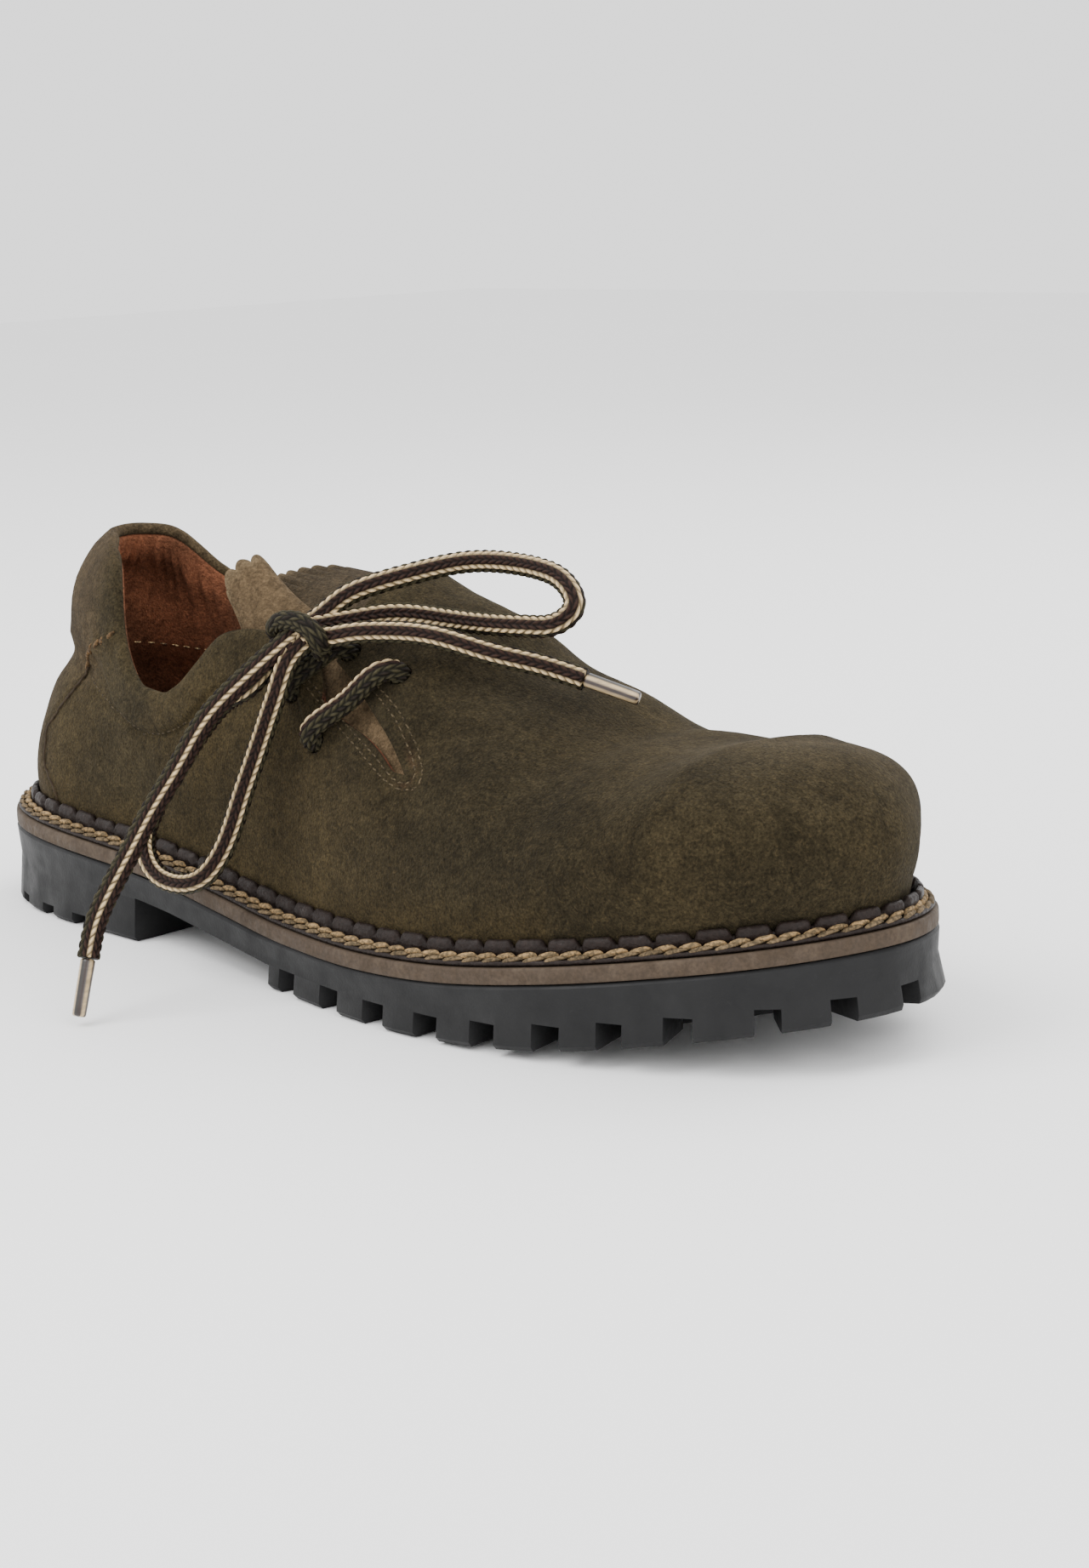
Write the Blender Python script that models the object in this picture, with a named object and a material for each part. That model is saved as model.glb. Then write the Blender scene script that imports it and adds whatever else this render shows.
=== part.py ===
"""Right haferl shoe, laced on its outer side. Metres: toe towards +X, outer side towards -Y, up +Z."""

import math

import bmesh
import bpy
import numpy as np

MM = 0.001
GAP = 0.3 * MM

SOLE_LENGTH = 304 * MM
BALL_WIDTH = 109 * MM
WAIST_WIDTH = 78 * MM
HEEL_WIDTH = 76 * MM

BALL_RUBBER = 12.6 * MM
HEEL_RISE = 10 * MM
TOE_SPRING = 14.4 * MM
WAIST_RUBBER = 7 * MM
HEEL_LENGTH = 81 * MM
ARCH_END = 144 * MM
LUG_DEPTH = 6 * MM
GROOVE_REACH = 19 * MM
CHANNEL_WIDTH = 5 * MM

MIDSOLE_THICK = 3.9 * MM
WELT_THICK = 1.1 * MM
RAND_THICK = 1.8 * MM
RAND_HEIGHT = 3.4 * MM
NOTCH_PITCH = 9.2 * MM
NOTCH_DEPTH = 2 * MM
INSOLE_THICK = 3 * MM

WALL = 2.3 * MM
COLLAR_PAD = 1.6 * MM
HEEL_CURVE = 32 * MM
UPPER_INSET = 7.4 * MM
INSTEP_RISE = 82 * MM
TOE_RISE = 44 * MM
COLLAR_RISE = 76 * MM
TONGUE_THICK = 2 * MM

LACE = 5.2 * MM
AGLET_LENGTH = 14 * MM
AGLET_WIDTH = 3.6 * MM


class Table:
    """Rows of named columns. Each column is read as a smooth curve over the first one."""

    def __init__(self, names, *rows):
        self.names = names.split()
        self.rows = np.array(rows, float)

    def at(self, name, x):
        t, v = self.rows[:, 0], self.rows[:, self.names.index(name)]
        h = np.diff(t)
        slope = np.diff(v) / h
        m = np.concatenate([slope[:1], (slope[:-1] + slope[1:]) / 2, slope[-1:]])
        m[1:-1][slope[:-1] * slope[1:] <= 0] = 0
        x = np.clip(np.asarray(x, float), t[0], t[-1])
        i = np.clip(np.searchsorted(t, x, side="right") - 1, 0, len(t) - 2)
        u = (x - t[i]) / h[i]
        start = v[i] * (1 + 2 * u) * (1 - u) ** 2 + m[i] * h[i] * u * (1 - u) ** 2
        return start + v[i + 1] * u * u * (3 - 2 * u) + m[i + 1] * h[i] * u * u * (u - 1)


# shares of the length, and of half the heel's, waist's or ball's width to either side
OUTLINE = Table(
    "along outer inner heel waist ball",
    (0.016, 0.46, 0.46, 1, 0, 0),
    (0.055, 0.78, 0.77, 1, 0, 0),
    (0.132, 0.995, 0.965, 1, 0, 0),
    (0.248, 1.06, 0.95, 1, 0, 0),
    (0.364, 1.10, 0.90, 0, 1, 0),
    (0.477, 1.25, 0.98, 0, 1, 0),
    (0.596, 1.012, 0.885, 0, 0, 1),
    (0.695, 1.025, 0.975, 0, 0, 1),
    (0.788, 0.955, 0.955, 0, 0, 1),
    (0.868, 0.80, 0.84, 0, 0, 1),
    (0.938, 0.56, 0.63, 0, 0, 1),
    (0.983, 0.26, 0.36, 0, 0, 1),
)
TIP_SHARE = 0.046

# height of the rubber's top over the ball, in shares of the heel's rise and the toe's spring, and the tread's
SIDE = Table(
    "along heel toe lift",
    (0, 1, 0, 0.03),
    (0.03, 0.965, 0, 0),
    (0.15, 0.82, 0, 0),
    (0.28, 0.58, 0, 0),
    (0.40, 0.19, 0, 0),
    (0.50, 0, 0, 0),
    (0.60, 0, 0.014, 0),
    (0.695, 0, 0.13, 0.03),
    (0.795, 0, 0.39, 0.21),
    (0.895, 0, 0.69, 0.54),
    (1, 0, 1, 0.86),
)

# the last: crown height in shares of the instep's and the toe's rise, its middle, and how square each side is
LAST = Table(
    "along instep toe middle outer inner swell_out swell_in",
    (0.12, 1.224, 0, 0, 2.3, 2.3, 0, 0),
    (0.25, 1.24, 0, 0.02, 2.3, 2.3, 0.03, 0),
    (0.35, 1.19, 0, 0.06, 2.2, 2.2, 0.04, 0),
    (0.45, 1.065, 0, 0.09, 2.1, 2.2, 0.04, 0),
    (0.52, 0.952, 0, 0.11, 2.1, 2.2, 0.04, 0),
    (0.60, 0.816, 0, 0.12, 2.2, 2.3, 0.04, 0.02),
    (0.68, 0.42, 0.455, 0.12, 2.4, 2.5, 0.05, 0.03),
    (0.76, 0, 0.985, 0.10, 2.8, 2.9, 0.06, 0.04),
    (0.82, 0, 0.935, 0.075, 3.2, 3.2, 0.08, 0.06),
    (0.865, 0, 0.965, 0.055, 3.6, 3.5, 0.11, 0.09),
)
HEEL_POLE, TOE_POLE = 0.17, 0.865

# how far the heel's back line comes in on its way up, in shares of the collar's rise and the heel's curve
BACK_LINE = Table(
    "up inward",
    (0, 0),
    (0.13, -0.025),
    (0.26, 0.02),
    (0.46, 0.19),
    (0.58, 0.36),
    (0.68, 0.35),
    (0.80, 0.335),
    (0.90, 0.385),
    (0.98, 0.475),
    (1.05, 0.575),
    (1.20, 0.68),
    (1.40, 0.77),
)

# round the shoe from the heel's back over the outer side: shares of the collar's rise
COLLAR = Table(
    "share top seam pad",
    (-0.30, 1.02, 0.80, 0),
    (-0.243, 1.00, 0.80, 0),
    (-0.215, 0.99, 0.82, 0.4),
    (-0.1975, 0.97, 0.80, 0.6),
    (-0.1875, 0.93, 0.77, 0.8),
    (-0.177, 0.86, 0.70, 0.8),
    (-0.166, 0.74, 0.57, 0.8),
    (-0.154, 0.64, 0.49, 0.8),
    (-0.142, 0.62, 0.46, 0.8),
    (-0.133, 0.65, 0.48, 0.8),
    (-0.124, 0.71, 0.51, 0.8),
    (-0.115, 0.79, 0.54, 0.9),
    (-0.106, 0.85, 0.565, 1.0),
    (-0.098, 0.89, 0.58, 1.1),
    (-0.088, 0.942, 0.59, 1.15),
    (-0.078, 0.978, 0.59, 1.2),
    (-0.051, 1.0, 0.59, 1.2),
    (0, 1.0, 0.59, 1.2),
    (0.06, 1.0, 0.59, 1.2),
    (0.095, 0.995, 0.59, 1.15),
    (0.110, 0.95, 0.575, 1.0),
    (0.117, 0.86, 0.53, 0.9),
    (0.124, 0.715, 0.48, 0.8),
    (0.133, 0.61, 0.44, 0.8),
    (0.142, 0.565, 0.425, 0.8),
    (0.154, 0.565, 0.43, 0.8),
    (0.166, 0.62, 0.475, 0.8),
    (0.176, 0.72, 0.55, 0.8),
    (0.185, 0.815, 0.635, 0.8),
    (0.195, 0.855, 0.69, 0.8),
    (0.205, 0.868, 0.71, 0.75),
    (0.2255, 0.88, 0.73, 0.6),
    (0.2438, 0.73, 0.60, 0.3),
    (0.30, 0.54, 0.44, 0),
)

# the lace opening: climb of its lower and upper edge, from the collar's corner to its round end
SLIT = Table(
    "share lower upper",
    (0.2438, 0.455, 0.557),
    (0.2535, 0.447, 0.545),
    (0.2632, 0.442, 0.523),
    (0.2736, 0.434, 0.495),
    (0.2833, 0.420, 0.470),
    (0.2915, 0.406, 0.446),
    (0.2979, 0.418, 0.418),
)
FRONT_CORNER = 0.418


def spline(points, closed=False):
    """Cubic curve through points by chord length, read at shares of it from 0 to 1."""
    p = np.asarray(points, float)
    if closed:
        p = np.vstack([p, p[:1]])
    t = np.concatenate([[0], np.cumsum(np.linalg.norm(np.diff(p, axis=0), axis=1))])
    n, h = len(p), np.diff(t)
    a, b = np.zeros((n, n)), np.zeros((n, p.shape[1]))
    for i in range(1, n - 1):
        a[i, i - 1 : i + 2] = h[i - 1], 2 * (h[i - 1] + h[i]), h[i]
        b[i] = 6 * ((p[i + 1] - p[i]) / h[i] - (p[i] - p[i - 1]) / h[i - 1])
    if closed:
        a[0, 0], a[0, 1], a[0, n - 2] = 2 * (h[0] + h[-1]), h[0], h[-1]
        b[0] = 6 * ((p[1] - p[0]) / h[0] - (p[0] - p[n - 2]) / h[-1])
        a[n - 1, n - 1], a[n - 1, 0] = 1, -1
    else:
        a[0, 0] = a[n - 1, n - 1] = 1
    m = np.linalg.solve(a, b)

    def at(share):
        x = np.clip(np.asarray(share, float), 0, 1) * t[-1]
        i = np.clip(np.searchsorted(t, x, side="right") - 1, 0, n - 2)
        u, w, hi = (x - t[i])[..., None], (t[i + 1] - x)[..., None], h[i][..., None]
        bend = (m[i] * w**3 + m[i + 1] * u**3) / (6 * hi)
        return bend + (p[i] / hi - m[i] * hi / 6) * w + (p[i + 1] / hi - m[i + 1] * hi / 6) * u

    return at


def outline_points():
    """The sole's outline, dense and closed, from the heel's back over the outer side and the toe."""
    along, outer, inner, heel, waist, ball = OUTLINE.rows.T
    half = (heel * HEEL_WIDTH + waist * WAIST_WIDTH + ball * BALL_WIDTH) / 2
    out_side = np.stack([along * SOLE_LENGTH, -outer * half], 1)
    in_side = np.stack([along * SOLE_LENGTH, inner * half], 1)
    tip = [[SOLE_LENGTH, TIP_SHARE * BALL_WIDTH / 2]]
    return spline(np.vstack([[[0, 0]], out_side, tip, in_side[::-1]]), closed=True)(np.linspace(0, 1, 2401))


EDGE = outline_points()
EDGE_RUN = np.concatenate([[0], np.cumsum(np.linalg.norm(np.diff(EDGE, axis=0), axis=1))])
TIP = float(EDGE_RUN[np.argmax(EDGE[:, 0])] / EDGE_RUN[-1])


def outline(share):
    """Points on the outline and their outward directions at shares of its own length."""
    run = np.mod(np.asarray(share, float), 1) * EDGE_RUN[-1]

    def point(r):
        r = np.mod(r, EDGE_RUN[-1])
        return np.stack([np.interp(r, EDGE_RUN, EDGE[:, 0]), np.interp(r, EDGE_RUN, EDGE[:, 1])], -1)

    ahead = point(run + 1.5 * MM) - point(run - 1.5 * MM)
    ahead /= np.linalg.norm(ahead, axis=-1)[..., None]
    return point(run), np.stack([ahead[..., 1], -ahead[..., 0]], -1)


def rubber_top(x):
    along = np.asarray(x) / SOLE_LENGTH
    return BALL_RUBBER + HEEL_RISE * SIDE.at("heel", along) + TOE_SPRING * SIDE.at("toe", along)


def tread(x):
    return TOE_SPRING * SIDE.at("lift", np.asarray(x) / SOLE_LENGTH)


def midsole_top(x):
    return rubber_top(x) + GAP + MIDSOLE_THICK


def welt_top(x):
    return midsole_top(x) + GAP + WELT_THICK


def feather(x):
    """Height of the upper's lower edge: it stands on the midsole, inside the welt."""
    return midsole_top(x) + GAP


def mix(a, b, t):
    return a * (1 - t) + b * t


def smooth(t):
    t = np.clip(t, 0, 1)
    return t * t * (3 - 2 * t)


def last_frame(share):
    """For each share: feather point, the crown's foot in plan, crown height, squareness, swell."""
    p, out = outline(share)
    edge = p - out * UPPER_INSET
    along = np.clip(edge[..., 0] / SOLE_LENGTH, HEEL_POLE, TOE_POLE)
    foot = np.stack([along * SOLE_LENGTH, LAST.at("middle", along) * BALL_WIDTH / 2], -1)
    outer = 0.5 - 0.5 * np.clip((edge[..., 1] - foot[..., 1]) / (BALL_WIDTH / 5), -1, 1)
    square = mix(LAST.at("inner", along), LAST.at("outer", along), outer)
    swell = mix(LAST.at("swell_in", along), LAST.at("swell_out", along), outer) * BALL_WIDTH / 2
    rise = LAST.at("instep", along) * INSTEP_RISE + LAST.at("toe", along) * TOE_RISE
    low = feather(edge[..., 0])
    crown = feather(along * SOLE_LENGTH) + rise
    return edge, foot, low, crown, square, swell


def climb_at(share, rise):
    """The climb, 0 at the feather edge and 1 at the crown, at which the last has risen by so much."""
    edge, foot, low, crown, square, swell = last_frame(share)
    part = np.clip(rise / (crown - low), 0, 1)
    return np.arcsin(part ** (square / 2)) * 2 / math.pi


def last(share, climb, offset=0.0):
    """Points on the last's outside, moved outwards by offset along the normal."""
    share, climb = np.broadcast_arrays(np.asarray(share, float), np.asarray(climb, float))
    edge, foot, low, crown, square, swell = last_frame(share)
    turn = np.clip(climb, 0, 1) * math.pi / 2
    reach, part = np.cos(turn) ** (2 / square), np.sin(turn) ** (2 / square)
    ray = edge - foot
    unit = ray / np.linalg.norm(ray, axis=-1)[..., None]
    rise = (crown - low) * part
    back = smooth(1 - edge[..., 0] / (0.30 * SOLE_LENGTH))
    inward = BACK_LINE.at("inward", rise / COLLAR_RISE) * HEEL_CURVE * back
    push = swell * np.sin(part * math.pi) - inward
    flat = foot + ray * reach[..., None] + unit * push[..., None]
    points = np.concatenate([flat, (low + rise)[..., None]], -1)
    if np.any(np.asarray(offset) != 0):
        points = points + last_normal(share, climb) * np.asarray(offset)[..., None]
    return points


def last_normal(share, climb):
    ds, dc = 0.002, 0.01
    climb = np.clip(climb, 0.012, 0.985)
    along = last(share + ds, climb) - last(share - ds, climb)
    up = last(share, climb + dc) - last(share, climb - dc)
    normal = np.cross(along, up)
    return normal / np.linalg.norm(normal, axis=-1)[..., None]


DENSE_SHARE = np.linspace(0, 1, 1201)
DENSE_EDGE = last_frame(DENSE_SHARE)[0]


def on_last(plan):
    """Share and climb of points given in plan, forward of the heel's pole."""
    plan = np.asarray(plan, float)
    x = plan[..., 0]
    pole = TOE_POLE * SOLE_LENGTH
    middle = LAST.at("middle", np.clip(x / SOLE_LENGTH, HEEL_POLE, TOE_POLE)) * BALL_WIDTH / 2
    outer = (DENSE_SHARE > 0.04) & (DENSE_SHARE < TIP)
    inner = (DENSE_SHARE > TIP) & (DENSE_SHARE < 0.96)
    s_out = np.interp(x, DENSE_EDGE[outer, 0], DENSE_SHARE[outer])
    s_in = np.interp(x, DENSE_EDGE[inner, 0][::-1], DENSE_SHARE[inner][::-1])
    straight = np.where(plan[..., 1] < middle, s_out, s_in)
    tip_y = float(LAST.at("middle", TOE_POLE)) * BALL_WIDTH / 2
    toe = DENSE_EDGE[:, 0] > pole
    bearing = np.arctan2(DENSE_EDGE[toe, 1] - tip_y, DENSE_EDGE[toe, 0] - pole)
    fanned = np.interp(np.arctan2(plan[..., 1] - tip_y, x - pole), bearing, DENSE_SHARE[toe])
    share = np.where(x > pole, fanned, straight)
    edge, foot, low, crown, square, swell = last_frame(share)
    reach = np.linalg.norm(plan - foot, axis=-1) / np.linalg.norm(edge - foot, axis=-1)
    return share, np.arccos(np.clip(reach, 0, 1) ** (square / 2)) * 2 / math.pi


def new_object(name, points, faces, colour, rough=0.8, smooth_faces=False):
    """A closed mesh object with its own plain material."""
    mesh = bpy.data.meshes.new(name)
    mesh.from_pydata([tuple(p) for p in points], [], [tuple(f) for f in faces])
    build = bmesh.new()
    build.from_mesh(mesh)
    bmesh.ops.remove_doubles(build, verts=build.verts, dist=0.00001)
    bmesh.ops.recalc_face_normals(build, faces=build.faces)
    if build.calc_volume(signed=True) < 0:
        bmesh.ops.reverse_faces(build, faces=build.faces)
    build.to_mesh(mesh)
    build.free()
    if smooth_faces:
        mesh.shade_smooth()
    obj = bpy.data.objects.new(name, mesh)
    bpy.context.scene.collection.objects.link(obj)
    obj.data.materials.append(plain(name, colour, rough))
    return obj


def plain(name, colour, rough):
    material = bpy.data.materials.new(name)
    material.use_nodes = True
    shader = material.node_tree.nodes["Principled BSDF"]
    shader.inputs["Base Color"].default_value = (*colour, 1)
    shader.inputs["Roughness"].default_value = rough
    return material


def cut(target, name, solids):
    """Takes hidden cutters, each a (points, faces) pair clear of the others, from the target."""
    points, faces = [], []
    for solid_points, solid_faces in solids:
        faces += [[i + len(points) for i in face] for face in solid_faces]
        points += [tuple(p) for p in solid_points]
    cutter = new_object(name, points, faces, (0.5, 0.5, 0.5))
    cutter.hide_render = True
    cutter.display_type = "WIRE"
    step = target.modifiers.new(name, "BOOLEAN")
    step.operation = "DIFFERENCE"
    step.solver = "EXACT"
    step.object = cutter
    return cutter


def ring_faces(columns, rows, closed=True):
    """Quads between stacked rings of the same number of points."""
    faces = []
    for r in range(rows - 1):
        for c in range(columns if closed else columns - 1):
            d = (c + 1) % columns
            faces.append((r * columns + c, r * columns + d, (r + 1) * columns + d, (r + 1) * columns + c))
    return faces


def cap_faces(columns, start):
    """Quads across a ring from its outer side to its inner side."""
    half = columns // 2
    faces = [(start, start + 1, start + columns - 1)]
    for i in range(1, half - 1):
        faces.append((start + i, start + i + 1, start + columns - i - 1, start + columns - i))
    return [*faces, (start + half - 1, start + half, start + half + 1)]


def sole_shares(half):
    """Shares of the outline in pairs that lie at the same distance along the sole."""
    x = SOLE_LENGTH * (1 - np.cos(np.pi * np.arange(half + 1) / half)) / 2
    share = np.linspace(0, 1, 4801)
    p = outline(share)[0][:, 0]
    outer, inner = share <= TIP, share >= TIP
    s_out = np.interp(x[1:-1], p[outer], share[outer])
    s_in = np.interp(x[1:-1], p[inner][::-1], share[inner][::-1])
    return np.concatenate([[0], s_out, [TIP], s_in[::-1]])


def slab(rings):
    """Closed solid through rings that all start at the heel's back."""
    columns = len(rings[0])
    faces = ring_faces(columns, len(rings)) + cap_faces(columns, 0)
    return np.vstack(rings), faces + cap_faces(columns, columns * (len(rings) - 1))


def sole_ring(shares, inset, height, lean=0.0):
    """Outline ring moved inwards by inset at a height over x; lean leaves it square to the sprung sole."""
    p, out = outline(shares)
    flat = p - out * inset
    z = height(flat[:, 0])
    if lean:
        step = 2 * MM
        slope = (rubber_top(flat[:, 0] + step) - rubber_top(flat[:, 0] - step)) / (2 * step)
        flat[:, 0] += lean * slope * (rubber_top(flat[:, 0]) - z)
    return np.column_stack([flat, z])


BOX_FACES = [(3, 2, 1, 0), (4, 5, 6, 7), (0, 1, 5, 4), (1, 2, 6, 5), (2, 3, 7, 6), (3, 0, 4, 7)]


def box_along(start, end, width, taper, low, high):
    """Cutter between two plan points, wider at its start by taper, from low to high."""
    ahead = (end - start) / np.linalg.norm(end - start)
    side = np.array([-ahead[1], ahead[0]])
    corners = [start - side * width * taper / 2, start + side * width * taper / 2]
    corners += [end + side * width / 2, end - side * width / 2]
    points = [(*c, low) for c in corners] + [(*c, h) for c, h in zip(corners, high)]
    return points, BOX_FACES


# gaps between the edge lugs: place round the outline, width, and the share of the lug's depth
GROOVES = Table(
    "share width deep",
    (0.062, 5.0, 0.55),
    (0.085, 5.5, 0.55),
    (0.108, 5.5, 0.55),
    (0.2478, 6.2, 1),
    (0.2757, 6.6, 1),
    (0.3012, 6.4, 1),
    (0.3270, 6.4, 1),
    (0.3520, 6.0, 1),
    (0.3770, 6.0, 1),
    (0.3996, 5.2, 1),
    (0.4225, 5.6, 1),
    (0.4509, 5.0, 1),
    (0.4751, 5.2, 1),
    (0.5005, 5.2, 1),
    (0.5390, 5.0, 1),
    (0.5625, 5.4, 1),
    (0.5880, 5.6, 1),
    (0.6130, 6.0, 1),
    (0.6380, 6.0, 1),
    (0.6630, 6.2, 1),
    (0.6890, 6.4, 1),
    (0.7150, 6.4, 1),
    (0.7420, 6.2, 1),
    (0.892, 5.5, 0.55),
    (0.915, 5.5, 0.55),
    (0.938, 5.0, 0.55),
)


def outsole():
    shares = sole_shares(42)
    rings = [
        sole_ring(shares, 1.2 * MM, tread, 1),
        sole_ring(shares, 0.1 * MM, lambda x: tread(x) + 1.2 * MM, 1),
        sole_ring(shares, 0.9 * MM, lambda x: mix(tread(x), rubber_top(x), 0.6), 1),
        sole_ring(shares, 0, lambda x: rubber_top(x) - 0.8 * MM, 1),
        sole_ring(shares, 0.6 * MM, rubber_top),
    ]
    sole = new_object("outsole", *slab(rings), (0.025, 0.026, 0.028), 0.55)
    sections = []
    for x in np.linspace(HEEL_LENGTH, ARCH_END, 9):
        high = rubber_top(x) - WAIST_RUBBER
        half = BALL_WIDTH * 0.7
        sections.append([(x, -half, -10 * MM), (x, half, -10 * MM), (x, half, high), (x, -half, high)])
    points = np.array(sections).reshape(-1, 3)
    faces = ring_faces(4, 9) + [(0, 1, 2, 3), (32, 33, 34, 35)]
    cut(sole, "arch_cut", [(points, faces)])
    grooves = []
    for share, width, deep in GROOVES.rows:
        p, out = outline(share)
        start, end = p + out * 6 * MM, p - out * GROOVE_REACH * (0.7 if deep < 1 else 1)
        near, far = (tread(q[0]) + LUG_DEPTH * deep for q in (p, end))
        grooves.append(box_along(start, end, width * MM, 1.25, -8 * MM, (near, near, far, far)))
    cut(sole, "edge_grooves", grooves)
    cut(sole, "channel", [channel()])
    cut(sole, "middle_grooves", middle_grooves())
    return sole


def channel():
    """Open ring behind the edge lugs of the forepart."""
    shares = np.linspace(0.236, 0.755, 34)
    p, out = outline(shares)
    inner = GROOVE_REACH + CHANNEL_WIDTH
    rails = []
    for inset, high in ((GROOVE_REACH - 1 * MM, 0), (inner, 0), (inner, 1), (GROOVE_REACH - 1 * MM, 1)):
        flat = p - out * inset
        z = tread(flat[:, 0]) + 0.88 * LUG_DEPTH if high else np.full(len(flat), -9 * MM)
        rails.append(np.column_stack([flat, z]))
    points = np.stack(rails, 1).reshape(-1, 3)
    end = 4 * (len(shares) - 1)
    return points, [*ring_faces(4, len(shares)), (0, 1, 2, 3), (end, end + 1, end + 2, end + 3)]


def middle_grooves():
    """Grooves across the block inside the channel, and two across the heel."""
    solids = []
    for along, half in ((0.565, 0.66), (0.64, 0.68), (0.715, 0.66), (0.79, 0.60), (0.865, 0.44)):
        x, y = along * SOLE_LENGTH, half * BALL_WIDTH / 2
        near, far = tread(x - 3 * MM) + 0.8 * LUG_DEPTH, tread(x + 3 * MM) + 0.8 * LUG_DEPTH
        points = [(x + i * 2.8 * MM, j * y, -7 * MM) for i, j in ((-1, -1), (1, -1), (1, 1), (-1, 1))]
        points += [(a, b, far if a > x else near) for a, b, _ in points]
        solids.append((points, BOX_FACES))
    return solids


def midsole():
    shares = sole_shares(42)
    low, high = lambda x: rubber_top(x) + GAP, midsole_top
    rings = [
        sole_ring(shares, 0.5 * MM, low),
        sole_ring(shares, 0.1 * MM, lambda x: low(x) + 0.5 * MM),
        sole_ring(shares, 0.1 * MM, lambda x: high(x) - 0.7 * MM),
        sole_ring(shares, 0.8 * MM, high),
    ]
    return new_object("midsole", *slab(rings), (0.16, 0.115, 0.085), 0.7)


def welt():
    """Storm welt: a flat strip with a notched lip that stands against the upper."""
    count = int(round(EDGE_RUN[-1] / NOTCH_PITCH))
    marks = np.array([-0.10, 0.0, 0.10])
    shares = ((np.arange(count)[:, None] + marks) / count).reshape(-1) % 1
    shares = np.sort(shares)
    notch = np.abs((shares * count + 0.5) % 1 - 0.5) < 0.04
    lip = np.where(notch, RAND_HEIGHT - NOTCH_DEPTH, RAND_HEIGHT)
    low, top = lambda x: midsole_top(x) + GAP, welt_top
    edge = last_frame(shares)[0][:, 0]
    step, crest = top(edge) - feather(edge), top(edge) + lip - feather(edge)

    def beside_upper(rise, out):
        return last(shares, climb_at(shares, rise), out)

    rings = [
        beside_upper(0 * step, 2 * GAP),
        sole_ring(shares, 0.9 * MM, low),
        sole_ring(shares, 0.9 * MM, top),
        beside_upper(step, 2 * GAP + RAND_THICK),
        beside_upper(crest - 0.5 * MM, 2 * GAP + RAND_THICK),
        beside_upper(crest, 2 * GAP),
    ]
    rings[0][:, 2] = rings[1][:, 2]
    rings[3][:, 2] = rings[2][:, 2]
    columns, rows = len(shares), len(rings)
    faces = ring_faces(columns, rows)
    for c in range(columns):
        d = (c + 1) % columns
        faces.append(((rows - 1) * columns + c, (rows - 1) * columns + d, d, c))
    return new_object("welt", np.vstack(rings), faces, (0.075, 0.05, 0.045), 0.7)


def insole():
    shares = sole_shares(32)
    inset = UPPER_INSET + WALL + 3 * GAP
    low, high = lambda x: midsole_top(x) + GAP, lambda x: midsole_top(x) + GAP + INSOLE_THICK
    rings = [
        sole_ring(shares, inset, low),
        sole_ring(shares, inset, lambda x: high(x) - 0.8 * MM),
        sole_ring(shares, inset + 1 * MM, high),
    ]
    return new_object("insole", *slab(rings), (0.30, 0.15, 0.085), 0.8)


# columns of the upper's mesh, as shares round it
BACK_SHARES = (0, 0.02, 0.04, 0.058, 0.074, 0.088, 0.098, 0.107, 0.114)
BACK_SHARES += (0.120, 0.126, 0.133, 0.142, 0.152, 0.162)
SIDE_SHARES = (0.170, 0.178, 0.186, 0.195, 0.205, 0.215, 0.2255, 0.2345)
OPENING_SHARES = (0.2438, 0.2535, 0.2632, 0.2736, 0.2833, 0.2915, 0.2979)
MEDIAL_THROAT = 0.800
FORE_STEPS, TOE_STEPS = 16, 12


def upper_columns():
    """Shares of the columns, and where the vamp's corners and the opening's end fall among them."""
    outer = list(BACK_SHARES) + list(SIDE_SHARES)
    fore = list(OPENING_SHARES)
    fore += list(np.linspace(OPENING_SHARES[-1], FRONT_CORNER, FORE_STEPS - len(fore) + 2)[1:])
    toe = list(np.linspace(FRONT_CORNER, 2 * TIP - FRONT_CORNER, TOE_STEPS + 1)[1:])
    inner_fore = list(np.linspace(toe[-1], MEDIAL_THROAT, FORE_STEPS + 1)[1:])
    inner = [1 - s for s in (0.195, 0.186, 0.178, 0.170, *BACK_SHARES[:0:-1])]
    first, corner = len(outer), len(outer) + FORE_STEPS
    shares = np.array(outer + fore + toe + inner_fore + inner)
    end = first + len(OPENING_SHARES) - 1
    inner_corner = corner + TOE_STEPS
    return shares, first, end, corner, inner_corner, inner_corner + FORE_STEPS


LOW_ROWS = (0, 0.12, 0.34, 0.58, 0.80, 0.95, 1.0)
HIGH_ROWS = (0.12, 0.38, 0.64, 0.85, 1.0)
PAD_ROWS = (0.85, 1.0, 1.0, 0.95, 0.6)


def crest_climb(share):
    """Climb at which the side walls end and the vamp's top begins."""
    table = Table(
        "share climb",
        (0.2979, 0.418),
        (0.33, 0.47),
        (0.37, 0.53),
        (FRONT_CORNER, 0.56),
        (0.46, 0.56),
        (0.54, 0.56),
        (2 * TIP - FRONT_CORNER, 0.56),
        (0.64, 0.54),
        (0.70, 0.52),
        (0.75, 0.50),
        (MEDIAL_THROAT, 0.55),
    )
    return table.at("climb", share)


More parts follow.
